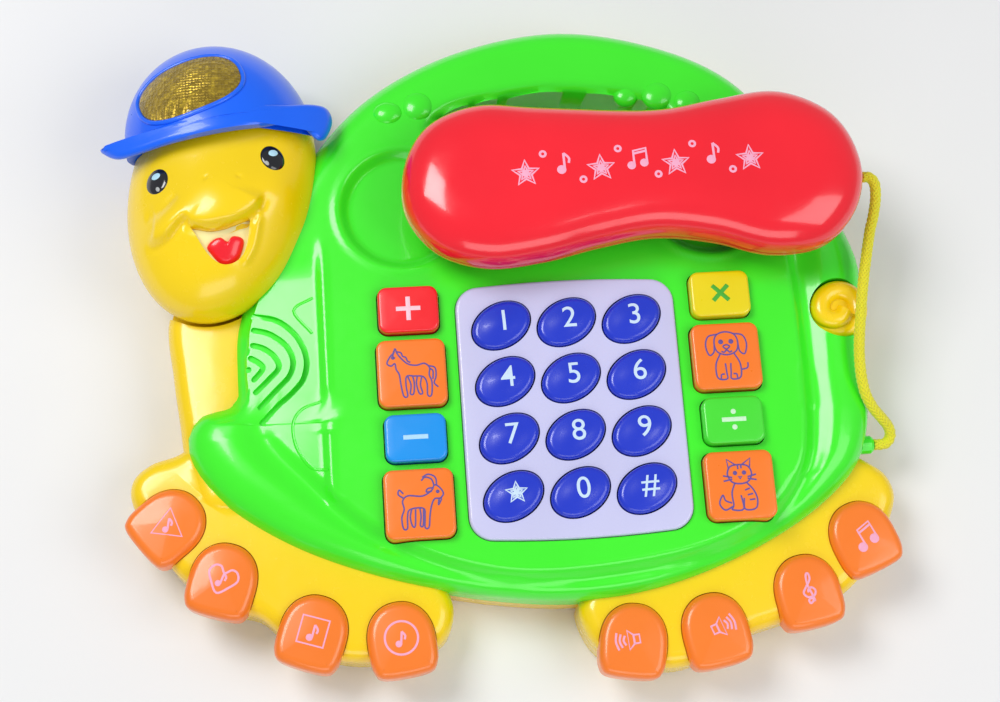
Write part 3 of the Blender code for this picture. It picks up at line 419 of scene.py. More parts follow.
def crown(sections, rise_by, steps=5):
    """Carry on from the last section to the middle, swelling upwards by rise_by."""
    last = sections[-1]
    middle = sum(last, Vector()) / len(last)
    for step in range(1, steps + 1):
        share = 1 - step / (steps + 0.6)
        swell = rise_by * (1 - share ** 2) ** 1.5
        sections.append([middle + (p - middle) * share + Vector((0, 0, swell)) for p in last])
    return sections


def to_object(bm, name, look, sharp=50):
    mesh = bpy.data.meshes.new(name)
    bm.to_mesh(mesh)
    bm.free()
    mesh.shade_smooth()
    mesh.set_sharp_from_angle(angle=math.radians(sharp))
    if look:
        mesh.materials.append(look)
    made = bpy.data.objects.new(name, mesh)
    scene.collection.objects.link(made)
    return made


def evaluated_mesh(obj):
    depsgraph = bpy.context.evaluated_depsgraph_get()
    return bpy.data.meshes.new_from_object(obj.evaluated_get(depsgraph), depsgraph=depsgraph)


def carve(target, tools, operation="DIFFERENCE", sharp=50):
    """Cut closed bmeshes from a piece, all in one Boolean, and keep the result."""
    together = bmesh.new()
    for tool in tools:
        holder = bpy.data.meshes.new("tool")
        tool.to_mesh(holder)
        tool.free()
        together.from_mesh(holder)
        bpy.data.meshes.remove(holder)
    cutter = to_object(together, "cutter", None)
    modifier = target.modifiers.new("carve", "BOOLEAN")
    modifier.operation = operation
    modifier.use_self = len(tools) > 1 and operation == "UNION"
    modifier.object = cutter
    carved = evaluated_mesh(target)
    target.modifiers.clear()
    old = target.data
    target.data = carved
    carved.name = target.name
    bpy.data.meshes.remove(old)
    bpy.data.objects.remove(cutter)
    target.data.shade_smooth()
    target.data.set_sharp_from_angle(angle=math.radians(sharp))
    return target


def mount(piece, body, *nodes):
    """Let a piece move with a body and stand for these nodes of the frame."""
    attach(piece, body)
    if nodes:
        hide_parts(*nodes)
    return piece


def middle_of(node):
    low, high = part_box(node)
    return (low + high) / 2, low, high


def surface_of(obj):
    bm = bmesh.new()
    bm.from_mesh(obj.data)
    tree = BVHTree.FromBMesh(bm)
    bm.free()
    return tree


def height_on(tree, x, y, otherwise):
    hit = tree.ray_cast(Vector((x, y, 0.2)), Vector((0, 0, -1)))[0]
    return hit.z if hit else otherwise


# %% [markdown]
# ## Helpers for prints
#
# A print starts as strokes: short smooth lines in a small square of its own. Each stroke becomes a curve
# with a round section. The curve is made a mesh, placed, pressed flat and laid on the surface below it, so
# a digit follows a domed key as the real paint does.

# %% Strokes and letters
def smooth_line(points, closed=False, steps=5):
    spots = [Vector((p[0], p[1])) for p in points]
    count = len(spots)
    line = []
    for i in range(count if closed else count - 1):
        start, end = spots[i], spots[(i + 1) % count]
        before = spots[i - 1] if closed or i > 0 else start * 2 - end
        after = spots[(i + 2) % count] if closed or i + 2 < count else end * 2 - start
        line += [between(before, start, end, after, step / steps) for step in range(steps)]
    return line if closed else [*line, spots[-1]]


def mesh_of(data):
    """The finished mesh of a curve or a letter."""
    holder = bpy.data.objects.new(data.name, data)
    scene.collection.objects.link(holder)
    mesh = evaluated_mesh(holder)
    bpy.data.objects.remove(holder)
    return mesh


def tubes(name, lines, width, roundness=1):
    """One mesh of round tubes: lines holds (points, closed, shares of the width or None)."""
    curve = bpy.data.curves.new(name, "CURVE")
    curve.dimensions = "3D"
    curve.bevel_depth = width / 2
    curve.bevel_resolution = roundness
    curve.use_fill_caps = True
    for line, closed, widths in lines:
        spline = curve.splines.new("POLY")
        spline.points.add(len(line) - 1)
        for k, spot in enumerate(line):
            spline.points[k].co = (*spot, 1)
            spline.points[k].radius = widths[k] if widths else 1.0
        spline.use_cyclic_u = closed
    return mesh_of(curve)


def tube_piece(name, lines, width, look, roundness=1):
    mesh = tubes(name, lines, width, roundness)
    mesh.materials.clear()
    mesh.materials.append(look)
    mesh.shade_smooth()
    made = bpy.data.objects.new(name, mesh)
    scene.collection.objects.link(made)
    return made


def stroke_mesh(strokes, size, width):
    """One mesh of all strokes: (kind, points), where kind is open, closed, straight, corners or dot."""
    lines = []
    for kind, points in strokes:
        loop = kind in ("closed", "corners")
        widths = None
        if kind == "dot":
            (x, y), reach = points
            angles = [math.pi * k / 8 for k in range(9)]
            line = [Vector((x - reach * math.cos(a), y)) for a in angles]
            widths = [reach * math.sin(a) * size * 2 / width for a in angles]
        elif kind in ("straight", "corners"):
            line = [Vector(p) for p in points]
        else:
            line = smooth_line(points, loop)
        lines.append(([(spot.x * size, spot.y * size, 0) for spot in line], loop, widths))
    return tubes("strokes", lines, width)


def letter_mesh(text, size):
    letter = bpy.data.curves.new("letter", "FONT")
    letter.body = text
    letter.size = size
    letter.align_x = "CENTER"
    letter.align_y = "CENTER"
    letter.extrude = 0.0002
    letter.offset = size * 0.002
    letter.resolution_u = 6
    return mesh_of(letter)


def lay_on(mesh, name, tree, place, turn, look, thickness=0.00012, proud=0.00004):
    """Put a flat mesh at a place, press it to a thickness and lay it on the surface below."""
    bm = bmesh.new()
    bm.from_mesh(mesh)
    bpy.data.meshes.remove(mesh)
    bmesh.ops.remove_doubles(bm, verts=bm.verts, dist=1e-7)
    bmesh.ops.subdivide_edges(bm, edges=[e for e in bm.edges if e.calc_length() > 0.0025], cuts=2)
    spin = Matrix.Rotation(turn, 2)
    tallest = max(abs(v.co.z) for v in bm.verts) or 1.0
    for vertex in bm.verts:
        spot = spin @ vertex.co.xy + place.xy
        ground = height_on(tree, spot.x, spot.y, place.z)
        vertex.co = (spot.x, spot.y, ground + proud + thickness * vertex.co.z / tallest)
    bmesh.ops.recalc_face_normals(bm, faces=bm.faces)
    return to_object(bm, name, look, 60)


# %% [markdown]
# ## The green shell
#
# The shell is one big moulding: a puffy roll round the edge, a crease inside it, a flat deck, a sloping left
# shoulder with the speaker slots, two shallow dishes for the handset and a carry handle. It is built as
# rings: the outline, its rounded edge, then ever smaller copies of it towards the middle. Every ring's
# points are then set to the height that the shell has there, which is a sum of simple rules.

# %% Outlines of the shell
shell_points = [(-9, -71), (33, -67.5), (76, -51.5), (106, -30), (116, -8), (115.5, 14), (118.5, 38),
                (119.5, 56), (112, 77), (98, 106), (76, 135), (45, 151.5), (6, 159), (-35, 152),
                (-70, 134.5), (-94, 110), (-108, 85), (-118, 62), (-126, 40), (-127, 22), (-128, 11),
                (-141, 7), (-145.5, -6), (-134, -26), (-103, -47), (-60, -62.5)]
crease_points = [(-10, -65.3), (40, -60.5), (71, -48.5), (88, -30), (93, -10), (94, 22), (93, 55), (88, 90),
                 (68, 122), (38, 140), (4, 147), (-32, 141), (-62, 124), (-84, 98), (-104, 70), (-117, 50),
                 (-122, 30), (-122, 12), (-117, -5), (-102, -22), (-80, -43.5), (-45, -60)]
handle_points = [(4, 104), (38, 108), (48, 116), (38, 125), (4, 130), (-20, 128), (-38, 124), (-47, 115),
                 (-32, 107)]
shell_low, shell_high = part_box("shell_cover")
DECK = shell_high.z
RIM = DECK - 0.0035
SIDE_TOP = shell_low.z + 0.010
shell_outline = even_loop(smooth_loop(shell_points), 440)
crease = smooth_loop(crease_points, 6)
handle_hole = even_loop(smooth_loop(handle_points), 72)


# %% Distance to a loop, and soft steps
def loop_edges(loop):
    return list(zip(loop, [*loop[1:], loop[0]]))


def distance_to(edges, spot):
    nearest = 1.0
    for start, end in edges:
        along = end - start
        share = max(0.0, min(1.0, (spot - start).dot(along) / along.length_squared))
        nearest = min(nearest, (spot - start - along * share).length_squared)
    return math.sqrt(nearest)


def is_inside(edges, spot):
    crossings = 0
    for start, end in edges:
        if (start.y > spot.y) != (end.y > spot.y):
            at = start.x + (spot.y - start.y) / (end.y - start.y) * (end.x - start.x)
            crossings += at > spot.x
    return crossings % 2 == 1


def soft(value):
    """A smooth step from 0 to 1."""
    held = max(0.0, min(1.0, value))
    return held * held * (3 - 2 * held)


# %% The height of the shell at a place
outline_edges = loop_edges(even_loop(shell_outline, 150))
crease_edges = loop_edges(even_loop(crease, 110))
hole_edges = loop_edges(handle_hole)
DISHES = [Vector((side * 0.060, 0.083)) for side in (-1, 1)]
DISH_RADIUS = 0.0245
RIDGE_X = -0.093
CREASE_DEPTH = 0.0050
BUMPS = [(-63.4, 123.0, 5.4, 4.4), (-51.6, 125.4, 5.6, 5.6), (31.8, 127.5, 4.4, 4.4), (44.2, 126.0, 5.6, 5.4),
         (55.8, 122.6, 5.0, 4.6)]


def crease_share(spot):
    """How deep the crease is: full round the lower shell, gone near the handle and beside the speaker."""
    near_speaker = soft((spot.y - 0.003) / 0.009) * soft((-0.085 - spot.x) / 0.02)
    return (1 - soft((spot.y - 0.052) / 0.022)) * (1 - near_speaker)


def plateau(spot):
    """The deck, and the left shoulder that slopes down from a ridge."""
    beyond = RIDGE_X - spot.x
    if beyond < -0.005:
        return DECK
    upper = soft((0.075 - spot.y) / 0.02)
    shoulder = 0.0016 * soft((beyond + 0.0005) / 0.002) + 0.10 * max(0.0, beyond)
    bead = 0.0006 * math.exp(-((beyond + 0.0014) / 0.0010) ** 2)
    return DECK + (bead - shoulder) * upper


def rim_height(spot, to_crease):
    """The puffy roll between the outline and the crease."""
    to_edge = distance_to(outline_edges, spot)
    width = to_edge + to_crease
    share = to_edge / max(1e-6, width)
    low_part = crease_share(spot)
    top = RIM + min(0.002, width * 0.06)
    top += (plateau(spot) - top) * (1 - low_part)
    arc = math.sqrt(max(0.0, 1 - (1 - min(1.0, min(share / 0.62, to_edge / 0.011))) ** 2))
    fall = (top - DECK + CREASE_DEPTH) * soft((share - 0.62) / 0.38) * low_part
    return SIDE_TOP + (top - SIDE_TOP) * arc - fall


def deck_height(spot, to_crease):
    """The plateau, falling into the crease at its edge."""
    level = plateau(spot)
    depth = max(0.0, level - (DECK - CREASE_DEPTH))
    return level - depth * (1 - soft(to_crease / 0.0055)) * crease_share(spot)


def shell_height(spot):
    to_crease = distance_to(crease_edges, spot)
    level = deck_height(spot, to_crease) if is_inside(crease_edges, spot) else rim_height(spot, to_crease)
    for dish in DISHES:
        reach = (spot - dish).length
        level -= 0.0034 * soft((DISH_RADIUS - reach) / 0.004)
        level += 0.0006 * math.exp(-((reach - DISH_RADIUS - 0.001) / 0.0012) ** 2)
    to_hole = distance_to(hole_edges, spot)
    lip = 0.0045
    if to_hole < lip:
        level -= lip - math.sqrt(lip ** 2 - (lip - to_hole) ** 2)
    return level


# %% Rings of the shell
def shell_sections():
    sections = [lift(shell_outline, shell_low.z), lift(shell_outline, SIDE_TOP)]
    rings = [grow(shell_outline, -0.007 * (step / 10) ** 1.5) for step in range(1, 11)]
    heart = Vector((0.0, -0.004))
    last = rings[-1]
    steps = 104
    for step in range(1, steps):
        share = 1 - step / steps
        rings.append([heart + (p - heart) * share for p in last])
    for ring in rings:
        sections.append([Vector((p.x, p.y, shell_height(p))) for p in ring])
    return sections


def smooth_heights(bm, rounds):
    """Even out the heights along the crease, where the rings cross it at a slant."""
    rough = [v for v in bm.verts if v.co.z > SIDE_TOP + 0.004 and (v.co.y < -0.030 or abs(v.co.y - 0.004) < 0.008)]
    for _ in range(rounds):
        bmesh.ops.smooth_vert(bm, verts=rough, factor=0.5, use_axis_x=False, use_axis_y=False, use_axis_z=True)
    return bm


shell = to_object(smooth_heights(rise(shell_sections()), 6), "shell", green, 60)
print("shell faces", len(shell.data.polygons))

# %% [markdown]
# The holes of the shell come next: the handle, the keypad's opening, the side buttons' wells, the speaker
# slots and the round notch that holds the tail. Each is a closed cutter, and one Boolean takes them all.

# %% Holes of the shell
SIDE_BUTTONS = ("button_plus", "button_horse", "button_minus", "button_goat",
                "button_times", "button_dog", "button_divide", "button_cat")
PLAY = 0.0005
SLOT_FLOOR = DECK - 0.0058
WELL_FLOOR = RIM - 0.004
UNDER_ALL, OVER_SHELL, OVER_ALL = -0.01, 0.06, 0.1
SLOTS = [[(-119, 43.5), (-110, 41), (-103, 34.5), (-99.5, 26), (-100.5, 18), (-105, 12.5), (-111, 7.5), (-117, 1.5)],
         [(-119, 38), (-113, 36), (-107, 31), (-104.5, 25), (-106, 19), (-111, 14), (-117.5, 7.5)],
         [(-119.5, 32), (-115.5, 30.5), (-111.5, 27), (-110, 22.5), (-114, 18), (-119, 13.5)],
         [(-120.5, 27), (-117.5, 25), (-116, 22.5), (-119.5, 18.5)]]


def column(loop, low, high):
    return rise([lift(loop, low), lift(loop, high)])


def button_outline(node, play=0.0):
    middle, low, high = middle_of(node)
    lip = 0.0009
    width, height = high.x - low.x - 2 * lip, high.y - low.y - 2 * lip
    return rounded_rectangle(width + 2 * play, height + 2 * play, 0.0035 + play, 6, middle.xy)


def panel_outline(node="keypad_panel", size=0.0):
    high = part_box(node)[1]
    lip = 0.003
    half_x, half_y, corner, bow = high.x - lip, high.y - lip - 0.0012, 0.009, 0.0012
    loop = []
    for point in rounded_rectangle(2 * half_x, 2 * half_y, corner, 8):
        loop.append(point)
        if len(loop) in (18, 42):
            side = 1 if point.y > 0 else -1
            reach = half_x - corner
            for step in range(1, 7):
                x = side * reach * (1 - step / 3.5)
                loop.append(Vector((x, side * (half_y + bow * (1 - (x / reach) ** 2)))))
    return grow(loop, size)


def slot_outline(points, width):
    line = smooth_line([Vector(p) * MM for p in points], steps=5)
    left, right = [], []
    for i, spot in enumerate(line):
        along = (line[min(i + 1, len(line) - 1)] - line[max(i - 1, 0)]).normalized()
        across = Vector((along.y, -along.x)) * width / 2
        left.append(spot - across)
        right.append(spot + across)
    far, near = ([spot + Matrix.Rotation(math.radians(a), 2) @ (rim - spot) for a in (45, 90, 135)]
                 for spot, rim in ((line[-1], right[-1]), (line[0], left[0])))
    return right + far + left[::-1] + near


tail_middle, tail_low, tail_high = middle_of("tail")
tail_radius = (tail_high.x - tail_low.x) / 2
holes = [column(handle_hole, 0.0, OVER_SHELL), column(panel_outline(size=0.0003), WELL_FLOOR, OVER_SHELL)]
holes += [column(button_outline(name, PLAY), WELL_FLOOR, OVER_SHELL) for name in SIDE_BUTTONS]
holes += [column(slot_outline(points, 0.0023), SLOT_FLOOR, OVER_SHELL) for points in SLOTS]
holes += [column(disc(0.0024, 16, (-0.1215, 0.0225)), SLOT_FLOOR, OVER_SHELL)]
holes += [column(disc(2 * tail_radius + 0.0006, 64, tail_middle.xy), 0, OVER_SHELL)]
carve(shell, holes)
mount(shell, "casing", "shell_cover")
shell_surface = surface_of(shell)
print("shell carved", len(shell.data.polygons))

# %% [markdown]
# Five round bumps sit on the handle's shoulders, like the small scales of a turtle. Each is half of a
# flattened ball sunk into the shell, so a fine crease runs round its foot.

# %% Bumps on the shoulders
def make_bumps():
    bm = bmesh.new()
    for x, y, half_x, half_y in BUMPS:
        ground = height_on(shell_surface, x * MM, y * MM, DECK)
        place = Matrix.Translation((x * MM, y * MM, ground - 0.0012))
        place = place @ Matrix.Diagonal((half_x * 1.12 * MM, half_y * 1.12 * MM, 0.0030, 1))
        bmesh.ops.create_uvsphere(bm, u_segments=40, v_segments=24, radius=1.0, matrix=place)
    mount(to_object(bm, "shell_bumps", green), "casing")


make_bumps()

# %% [markdown]
# Two half hexagons, raised like the plates of a turtle's shell, stand beside the ridge on the left shoulder.
# They are thin round beads that follow the surface.

# %% Beads on the left shoulder
PLATES = [[(-96, 49), (-103.5, 44.5), (-97, 35)], [(-94.5, 8), (-102, 5.5), (-105.5, 0), (-104.5, -9),
                                                  (-99.5, -17), (-93, -18.5)]]
beads = lay_on(stroke_mesh([("open", points) for points in PLATES], MM, 0.0012), "shell_beads",
               shell_surface, Vector((0, 0, 0)), 0.0, green, 0.0005, 0.0)
mount(beads, "casing")

# %% [markdown]
# ## Back cover
#
# The back cover is a shallow tray under everything. Only its side wall and flat back show, so it is the
# outlines of shell, neck and feet, joined into one body with a softly rounded lower edge.

# %% Outlines of neck and feet
neck_points = [(-147, -10), (-140, -30), (-118, -28), (-110, 0), (-110, 30), (-114, 66), (-140, 70),
               (-152, 48), (-151, 24), (-149, 6)]
left_foot_points = [(-167, -15), (-167.5, -24), (-161, -36), (-156, -45), (-150, -53), (-140, -61), (-129, -67),
                    (-121, -70), (-112, -78), (-98, -85.5), (-84, -88.5), (-68, -87.5), (-56, -84.5), (-50, -77),
                    (-50, -66), (-60, -50), (-90, -35), (-120, -10), (-138, 0), (-150, -6), (-160, -9)]
right_foot_points = [(-1, -70), (-1, -80), (6, -91), (22, -97), (38, -97.5), (52, -91), (64, -86.5), (76, -83.5),
                     (90, -80), (104, -71), (114, -60), (121, -47), (124, -36), (118, -26), (100, -20),
                     (70, -38), (40, -50), (10, -55)]
neck_outline = smooth_loop(neck_points)
foot_outlines = {"left": smooth_loop(left_foot_points), "right": smooth_loop(right_foot_points)}


# %% Back cover
def tray(loop, high, radius=0.003):
    """A body whose lower edge is rounded, turned over from round_edge."""
    sections = round_edge(loop, 0.0, high, radius, 4)
    return rise([[Vector((p.x, p.y, high - p.z)) for p in section] for section in reversed(sections)])


back_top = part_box("shell_cover")[0].z - 0.0003
back = to_object(tray(even_loop(shell_outline, 220), back_top), "back", yellow)
carve(back, [tray(neck_outline, back_top - 0.00002), *[tray(loop, back_top - 0.00004 - 0.00002 * k)
             for k, loop in enumerate(foot_outlines.values())]], "UNION")
door_middle, door_low, door_high = middle_of("battery_door")
HEAD = Vector((-0.1315, 0.088))
HEAD_TURN = math.radians(10)
HEAD_LEAN = math.radians(-24)
HEAD_WIDTH, HEAD_LENGTH = 0.071, 0.108
CAP_LINE = 0.024
CAP_SIZE = (0.0375, 0.042, 0.033)
CAP_SHIFT = 0.006


def head_spot(x, y):
    """A place on the head, in the face's own turned directions, as a place on the toy."""
    return HEAD + Matrix.Rotation(HEAD_TURN, 2) @ Vector((x, y))


def head_loop(share=1.0, count=190, grown=0.0):
    """The head's long oval, which leans away from the direction that the face looks."""
    width, length = (HEAD_WIDTH + grown) * share, (HEAD_LENGTH + grown) * share
    return ellipse(width, length, count, HEAD_TURN + HEAD_LEAN, head_spot(0.0037, 0.0070))


cap_loop = ellipse(2 * CAP_SIZE[0] + 0.001, 2 * CAP_SIZE[1] + 0.001, 96, HEAD_TURN, head_spot(CAP_SHIFT, CAP_LINE))
DOOR_DEPTH, SCREW_DEPTH = 0.0025, 0.0027
door_width, door_height = (size + 0.0006 for size in (door_high - door_low).xy)
holes = [column(loop, UNDER_ALL, OVER_ALL) for loop in (head_loop(1.0, 96, 0.001), cap_loop, handle_hole)]
holes += [column(rounded_rectangle(door_width, door_height, 0.0013, 6, door_middle.xy), UNDER_ALL, DOOR_DEPTH),
          column(rounded_rectangle(0.018, 0.007, 0.001, 6, (0.045, 0.020)), UNDER_ALL, SCREW_DEPTH)]
holes += [column(disc(0.0066, 32, middle_of(f"case_screw_{number}")[0].xy), UNDER_ALL, SCREW_DEPTH)
          for number in range(1, 5)]
carve(back, holes)
mount(back, "casing", "back_cover")

# %% [markdown]
# ## Feet and neck
#
# Each foot is a puffy yellow pad with four toe buttons sunk in its outer edge. The left one runs up into the
# neck as one moulding. A deep rounded edge gives the soft, inflated look, and each toe gets a well.

# %% Toe places
TOES = {"left": ("toe_triangle", "toe_heart", "toe_square", "toe_circle"),
        "right": ("toe_low_sound", "toe_high_sound", "toe_clef", "toe_notes")}
TOE_WIDTH, TOE_LENGTH = 0.0255, 0.0275
TOE_FACING = {"toe_triangle": -52, "toe_heart": -18, "toe_square": -20, "toe_circle": 7,
              "toe_low_sound": -9, "toe_high_sound": 10, "toe_clef": 10, "toe_notes": 21}


def toe_outline(size=0.0):
    right = [(0.6, -1), (0.93, -0.75), (1, -0.2), (0.95, 0.3), (0.75, 0.68), (0.4, 0.93)]
    shares = [*right, (0, 1), *[(-x, y) for x, y in reversed(right)]]
    return grow(smooth_loop([(x * TOE_WIDTH / 2, y * TOE_LENGTH / 2) for x, y in shares], 5, 1.0), size)


def toe_place(name):
    middle, _, high = middle_of(name)
    return Vector((middle.x, middle.y, high.z)), math.radians(TOE_FACING[name])


def placed(loop, place, turn):
    spin = Matrix.Rotation(turn, 2)
    return [place.xy + spin @ p for p in loop]


# %% Foot pads
def foot(side, top):
    loop = even_loop(foot_outlines[side], 150)
    pad = rise(crown(round_edge(loop, back_top + 0.0003, top, 0.0065, 8), 0.0006, 3))
    return to_object(pad, f"{side}_foot", yellow)


FOOT_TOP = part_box("right_foot_cover")[1].z
for side, names in TOES.items():
    pad = foot(side, FOOT_TOP + 0.0015)
    if side == "left":
        neck = rise(crown(round_edge(even_loop(neck_outline, 110), back_top + 0.0003, 0.0275, 0.008, 8), 0.0005, 3))
        carve(pad, [neck], "UNION")
        carve(pad, [column(head_loop(1.0, 96, 0.001), 0, OVER_ALL)])
    wells = []
    for name in names:
        place, facing = toe_place(name)
        wells.append(column(placed(toe_outline(0.00025), place, facing), place.z - 0.0065, OVER_ALL))
    carve(pad, wells)
    mount(pad, "casing", f"{side}_foot_cover")

# %% [markdown]
# ## Toe buttons
#
# A toe is an orange cap, rounded at its inner end and squarer where it hangs over the foot's edge. Its top
# swells a little, so it catches a soft highlight. The prints on the toes are pink.

# %% Drawings for the toes
def ring(x, y, radius, count=10):
    return [(x + radius * math.cos(2 * math.pi * k / count), y + radius * math.sin(2 * math.pi * k / count))
            for k in range(count)]


def filled_dot(x, y, radius):
    """A small disc: one fat stroke whose width follows a circle."""
    return [("dot", ((x, y), radius * 1.35))]


def mirrored(kind, points):
    """A stroke and the same stroke on the other side."""
    return [(kind, points), (kind, [(-x, y) for x, y in points])]


def note(x, y, size):
    head = filled_dot(x, y, 0.16 * size)
    return [*head, ("straight", [(x + 0.15 * size, y), (x + 0.15 * size, y + 0.8 * size)]),
            ("open", [(x + 0.15 * size, y + 0.8 * size), (x + 0.38 * size, y + 0.55 * size),
                      (x + 0.36 * size, y + 0.3 * size)])]


def speaker_sign(side):
    box = [(-0.25, -0.22), (0.05, -0.22), (0.35, -0.5), (0.35, 0.5), (0.05, 0.22), (-0.25, 0.22)]
    waves = [[(0.5 + k * 0.2, -0.25 - 0.1 * k), (0.6 + k * 0.2, 0), (0.5 + k * 0.2, 0.25 + 0.1 * k)] for k in range(3)]
    return [("corners", [(side * x, y) for x, y in box]),
            ("straight", [(side * 0.05, -0.22), (side * 0.05, 0.22)]),
            *[("open", [(side * x, y) for x, y in wave]) for wave in waves]]


CLEF = [("open", [(0.02, -0.62), (-0.16, -0.7), (-0.2, -0.52), (-0.02, -0.46), (0.1, -0.62), (0.04, -0.2),
                  (-0.04, 0.3), (0.04, 0.78), (0.18, 0.82), (0.16, 0.5), (-0.14, 0.18), (-0.36, -0.1),
                  (-0.2, -0.36), (0.14, -0.36), (0.28, -0.12), (0.12, 0.08), (-0.08, 0.0), (-0.1, -0.14)])]
HEART = [("closed", [(0, -0.78), (0.5, -0.3), (0.78, 0.15), (0.62, 0.52), (0.3, 0.58), (0, 0.3),
                     (-0.3, 0.58), (-0.62, 0.52), (-0.78, 0.15), (-0.5, -0.3)])]
BEAMED = [*filled_dot(-0.42, -0.5, 0.19), *filled_dot(0.36, -0.38, 0.19),
          ("straight", [(-0.24, -0.5), (-0.24, 0.42), (0.54, 0.56), (0.54, -0.38)]),
          ("straight", [(-0.24, 0.24), (0.54, 0.38)])]
TOE_PRINTS = {
    "toe_triangle": ([("corners", [(-0.8, -0.6), (0.8, -0.6), (0, 0.8)]), *note(-0.1, -0.35, 0.75)], -10),
    "toe_heart": ([*HEART, *note(-0.12, -0.3, 0.75)], -25),
    "toe_square": ([("corners", [(-0.7, -0.7), (0.7, -0.7), (0.7, 0.7), (-0.7, 0.7)]),
                    *note(-0.1, -0.35, 0.85)], -18),
    "toe_circle": ([("closed", ring(0, 0, 0.85, 14)), *note(-0.12, -0.32, 0.8)], -5),
    "toe_low_sound": (speaker_sign(-1), 5), "toe_high_sound": (speaker_sign(1), 20),
    "toe_clef": (CLEF, 12), "toe_notes": (BEAMED, 25)}


# %% Toe caps and their prints
def make_toe(name):
    place, facing = toe_place(name)
    loop = placed(toe_outline(), place, facing)
    cap_low = place.z - 0.011
    body = rise(crown(round_edge(loop, cap_low, place.z - 0.0006, 0.0034, 7), 0.0006, 4))
    toe = to_object(body, f"{name}_cap", orange)
    mount(toe, name, name)
    strokes, turn = TOE_PRINTS[name]
    mark = lay_on(stroke_mesh(strokes, 0.0072, 0.0008), f"{name}_print", surface_of(toe), place,
                  math.radians(turn), pink)
    mount(mark, name)


for names in TOES.values():
    for name in names:
        make_toe(name)

# %% [markdown]
# ## Keypad
#
# The lilac panel is a plate with a rounded edge and twelve oval wells. The keys are domed ovals, all leaning
# the same way. Their digits are printed in pale blue, a little above and to the right of the middle.

# %% Panel
KEY_TURN = math.radians(28)
KEY_LONG, KEY_SHORT = 0.0237, 0.0171
KEYS = {f"key_{digit}": digit for digit in "123456789"} | {"key_star": "star", "key_0": "0", "key_hash": "#"}
panel_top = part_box("keypad_panel")[1].z
panel = to_object(rise(crown(round_edge(panel_outline(), RIM - 0.002, panel_top, 0.0012, 5), 0.0, 1)),
                  "panel", lilac)
wells = []
for name in KEYS:
    middle = middle_of(name)[0]
    wells.append(column(ellipse(KEY_LONG + 2 * PLAY, KEY_SHORT + 2 * PLAY, 64, KEY_TURN, middle.xy),
                        RIM - 0.0015, OVER_SHELL))
carve(panel, wells)
mount(panel, "casing", "keypad_panel")


# %% Keys
def star_strokes():
    points = []
    for k in range(10):
        reach = 1.0 if k % 2 == 0 else 0.42
        angle = math.radians(90 + 36 * k)
        points.append((reach * math.cos(angle), reach * math.sin(angle)))
    inner = [(x * 0.55, y * 0.55) for x, y in points]
    return [("corners", points), ("corners", inner), *filled_dot(0, 0, 0.2)]


def make_key(name, text):
    middle, _, high = middle_of(name)
    loop = ellipse(KEY_LONG, KEY_SHORT, 64, KEY_TURN, middle.xy)
    sections = round_edge(loop, RIM - 0.001, high.z - 0.0009, 0.0022, 7)
    key = to_object(rise(crown(sections, 0.0009, 6)), f"{name}_cap", key_blue)
    mount(key, name, name)
    spot = Vector((middle.x + 0.0010, middle.y + 0.0009, high.z))
    mesh = stroke_mesh(star_strokes(), 0.0042, 0.0008) if text == "star" else letter_mesh(text, 0.0116)
    mark = lay_on(mesh, f"{name}_print", surface_of(key), spot, math.radians(2), digit_pale)
    mount(mark, name)


for name, text in KEYS.items():
    make_key(name, text)

# %% [markdown]
# ## Side buttons
#
# Four small buttons carry the signs of arithmetic, and four larger ones an animal each. The animals are
# simple line drawings: a few smooth strokes, pressed flat, in dark ink.

# %% Drawings of signs and animals
PLUS = [("straight", [(-0.8, 0), (0.8, 0)]), ("straight", [(0, -0.8), (0, 0.8)])]
MINUS = [("straight", [(-0.8, 0), (0.8, 0)])]
TIMES = [("straight", [(-0.52, -0.52), (0.52, 0.52)]), ("straight", [(-0.52, 0.52), (0.52, -0.52)])]
DIVIDE = [("straight", [(-0.8, 0), (0.8, 0)]), *filled_dot(0, 0.52, 0.13), *filled_dot(0, -0.52, 0.13)]
HORSE = [
    ("closed", [(-0.88, 0.36), (-0.78, 0.58), (-0.64, 0.74), (-0.56, 0.9), (-0.5, 0.72), (-0.34, 0.5), (-0.12, 0.3),
                (0.18, 0.24), (0.46, 0.3), (0.64, 0.14), (0.62, -0.14), (0.7, -0.42), (0.66, -0.88), (0.52, -0.88),
                (0.52, -0.46), (0.4, -0.2), (0.08, -0.16), (-0.2, -0.16), (-0.24, -0.5), (-0.2, -0.88), (-0.34, -0.88),
                (-0.42, -0.46), (-0.46, -0.08), (-0.56, 0.12), (-0.6, 0.34), (-0.74, 0.26)]),
    ("open", [(0.34, -0.2), (0.28, -0.5), (0.34, -0.8), (0.22, -0.8), (0.14, -0.46), (0.18, -0.17)]),
    ("open", [(-0.16, -0.17), (-0.06, -0.48), (-0.1, -0.8), (0.02, -0.8), (0.06, -0.44), (0.02, -0.17)]),
    ("open", [(0.62, 0.2), (0.84, 0.12), (0.86, -0.2), (0.78, -0.44), (0.92, -0.6)]),
    ("open", [(0.66, 0.1), (0.76, 0.0), (0.74, -0.3)]),
    ("open", [(-0.5, 0.78), (-0.36, 0.74), (-0.3, 0.6), (-0.2, 0.56), (-0.14, 0.42), (-0.04, 0.36)]),
    ("open", [(-0.6, 0.8), (-0.66, 0.62), (-0.58, 0.54)]), *filled_dot(-0.66, 0.56, 0.05)]
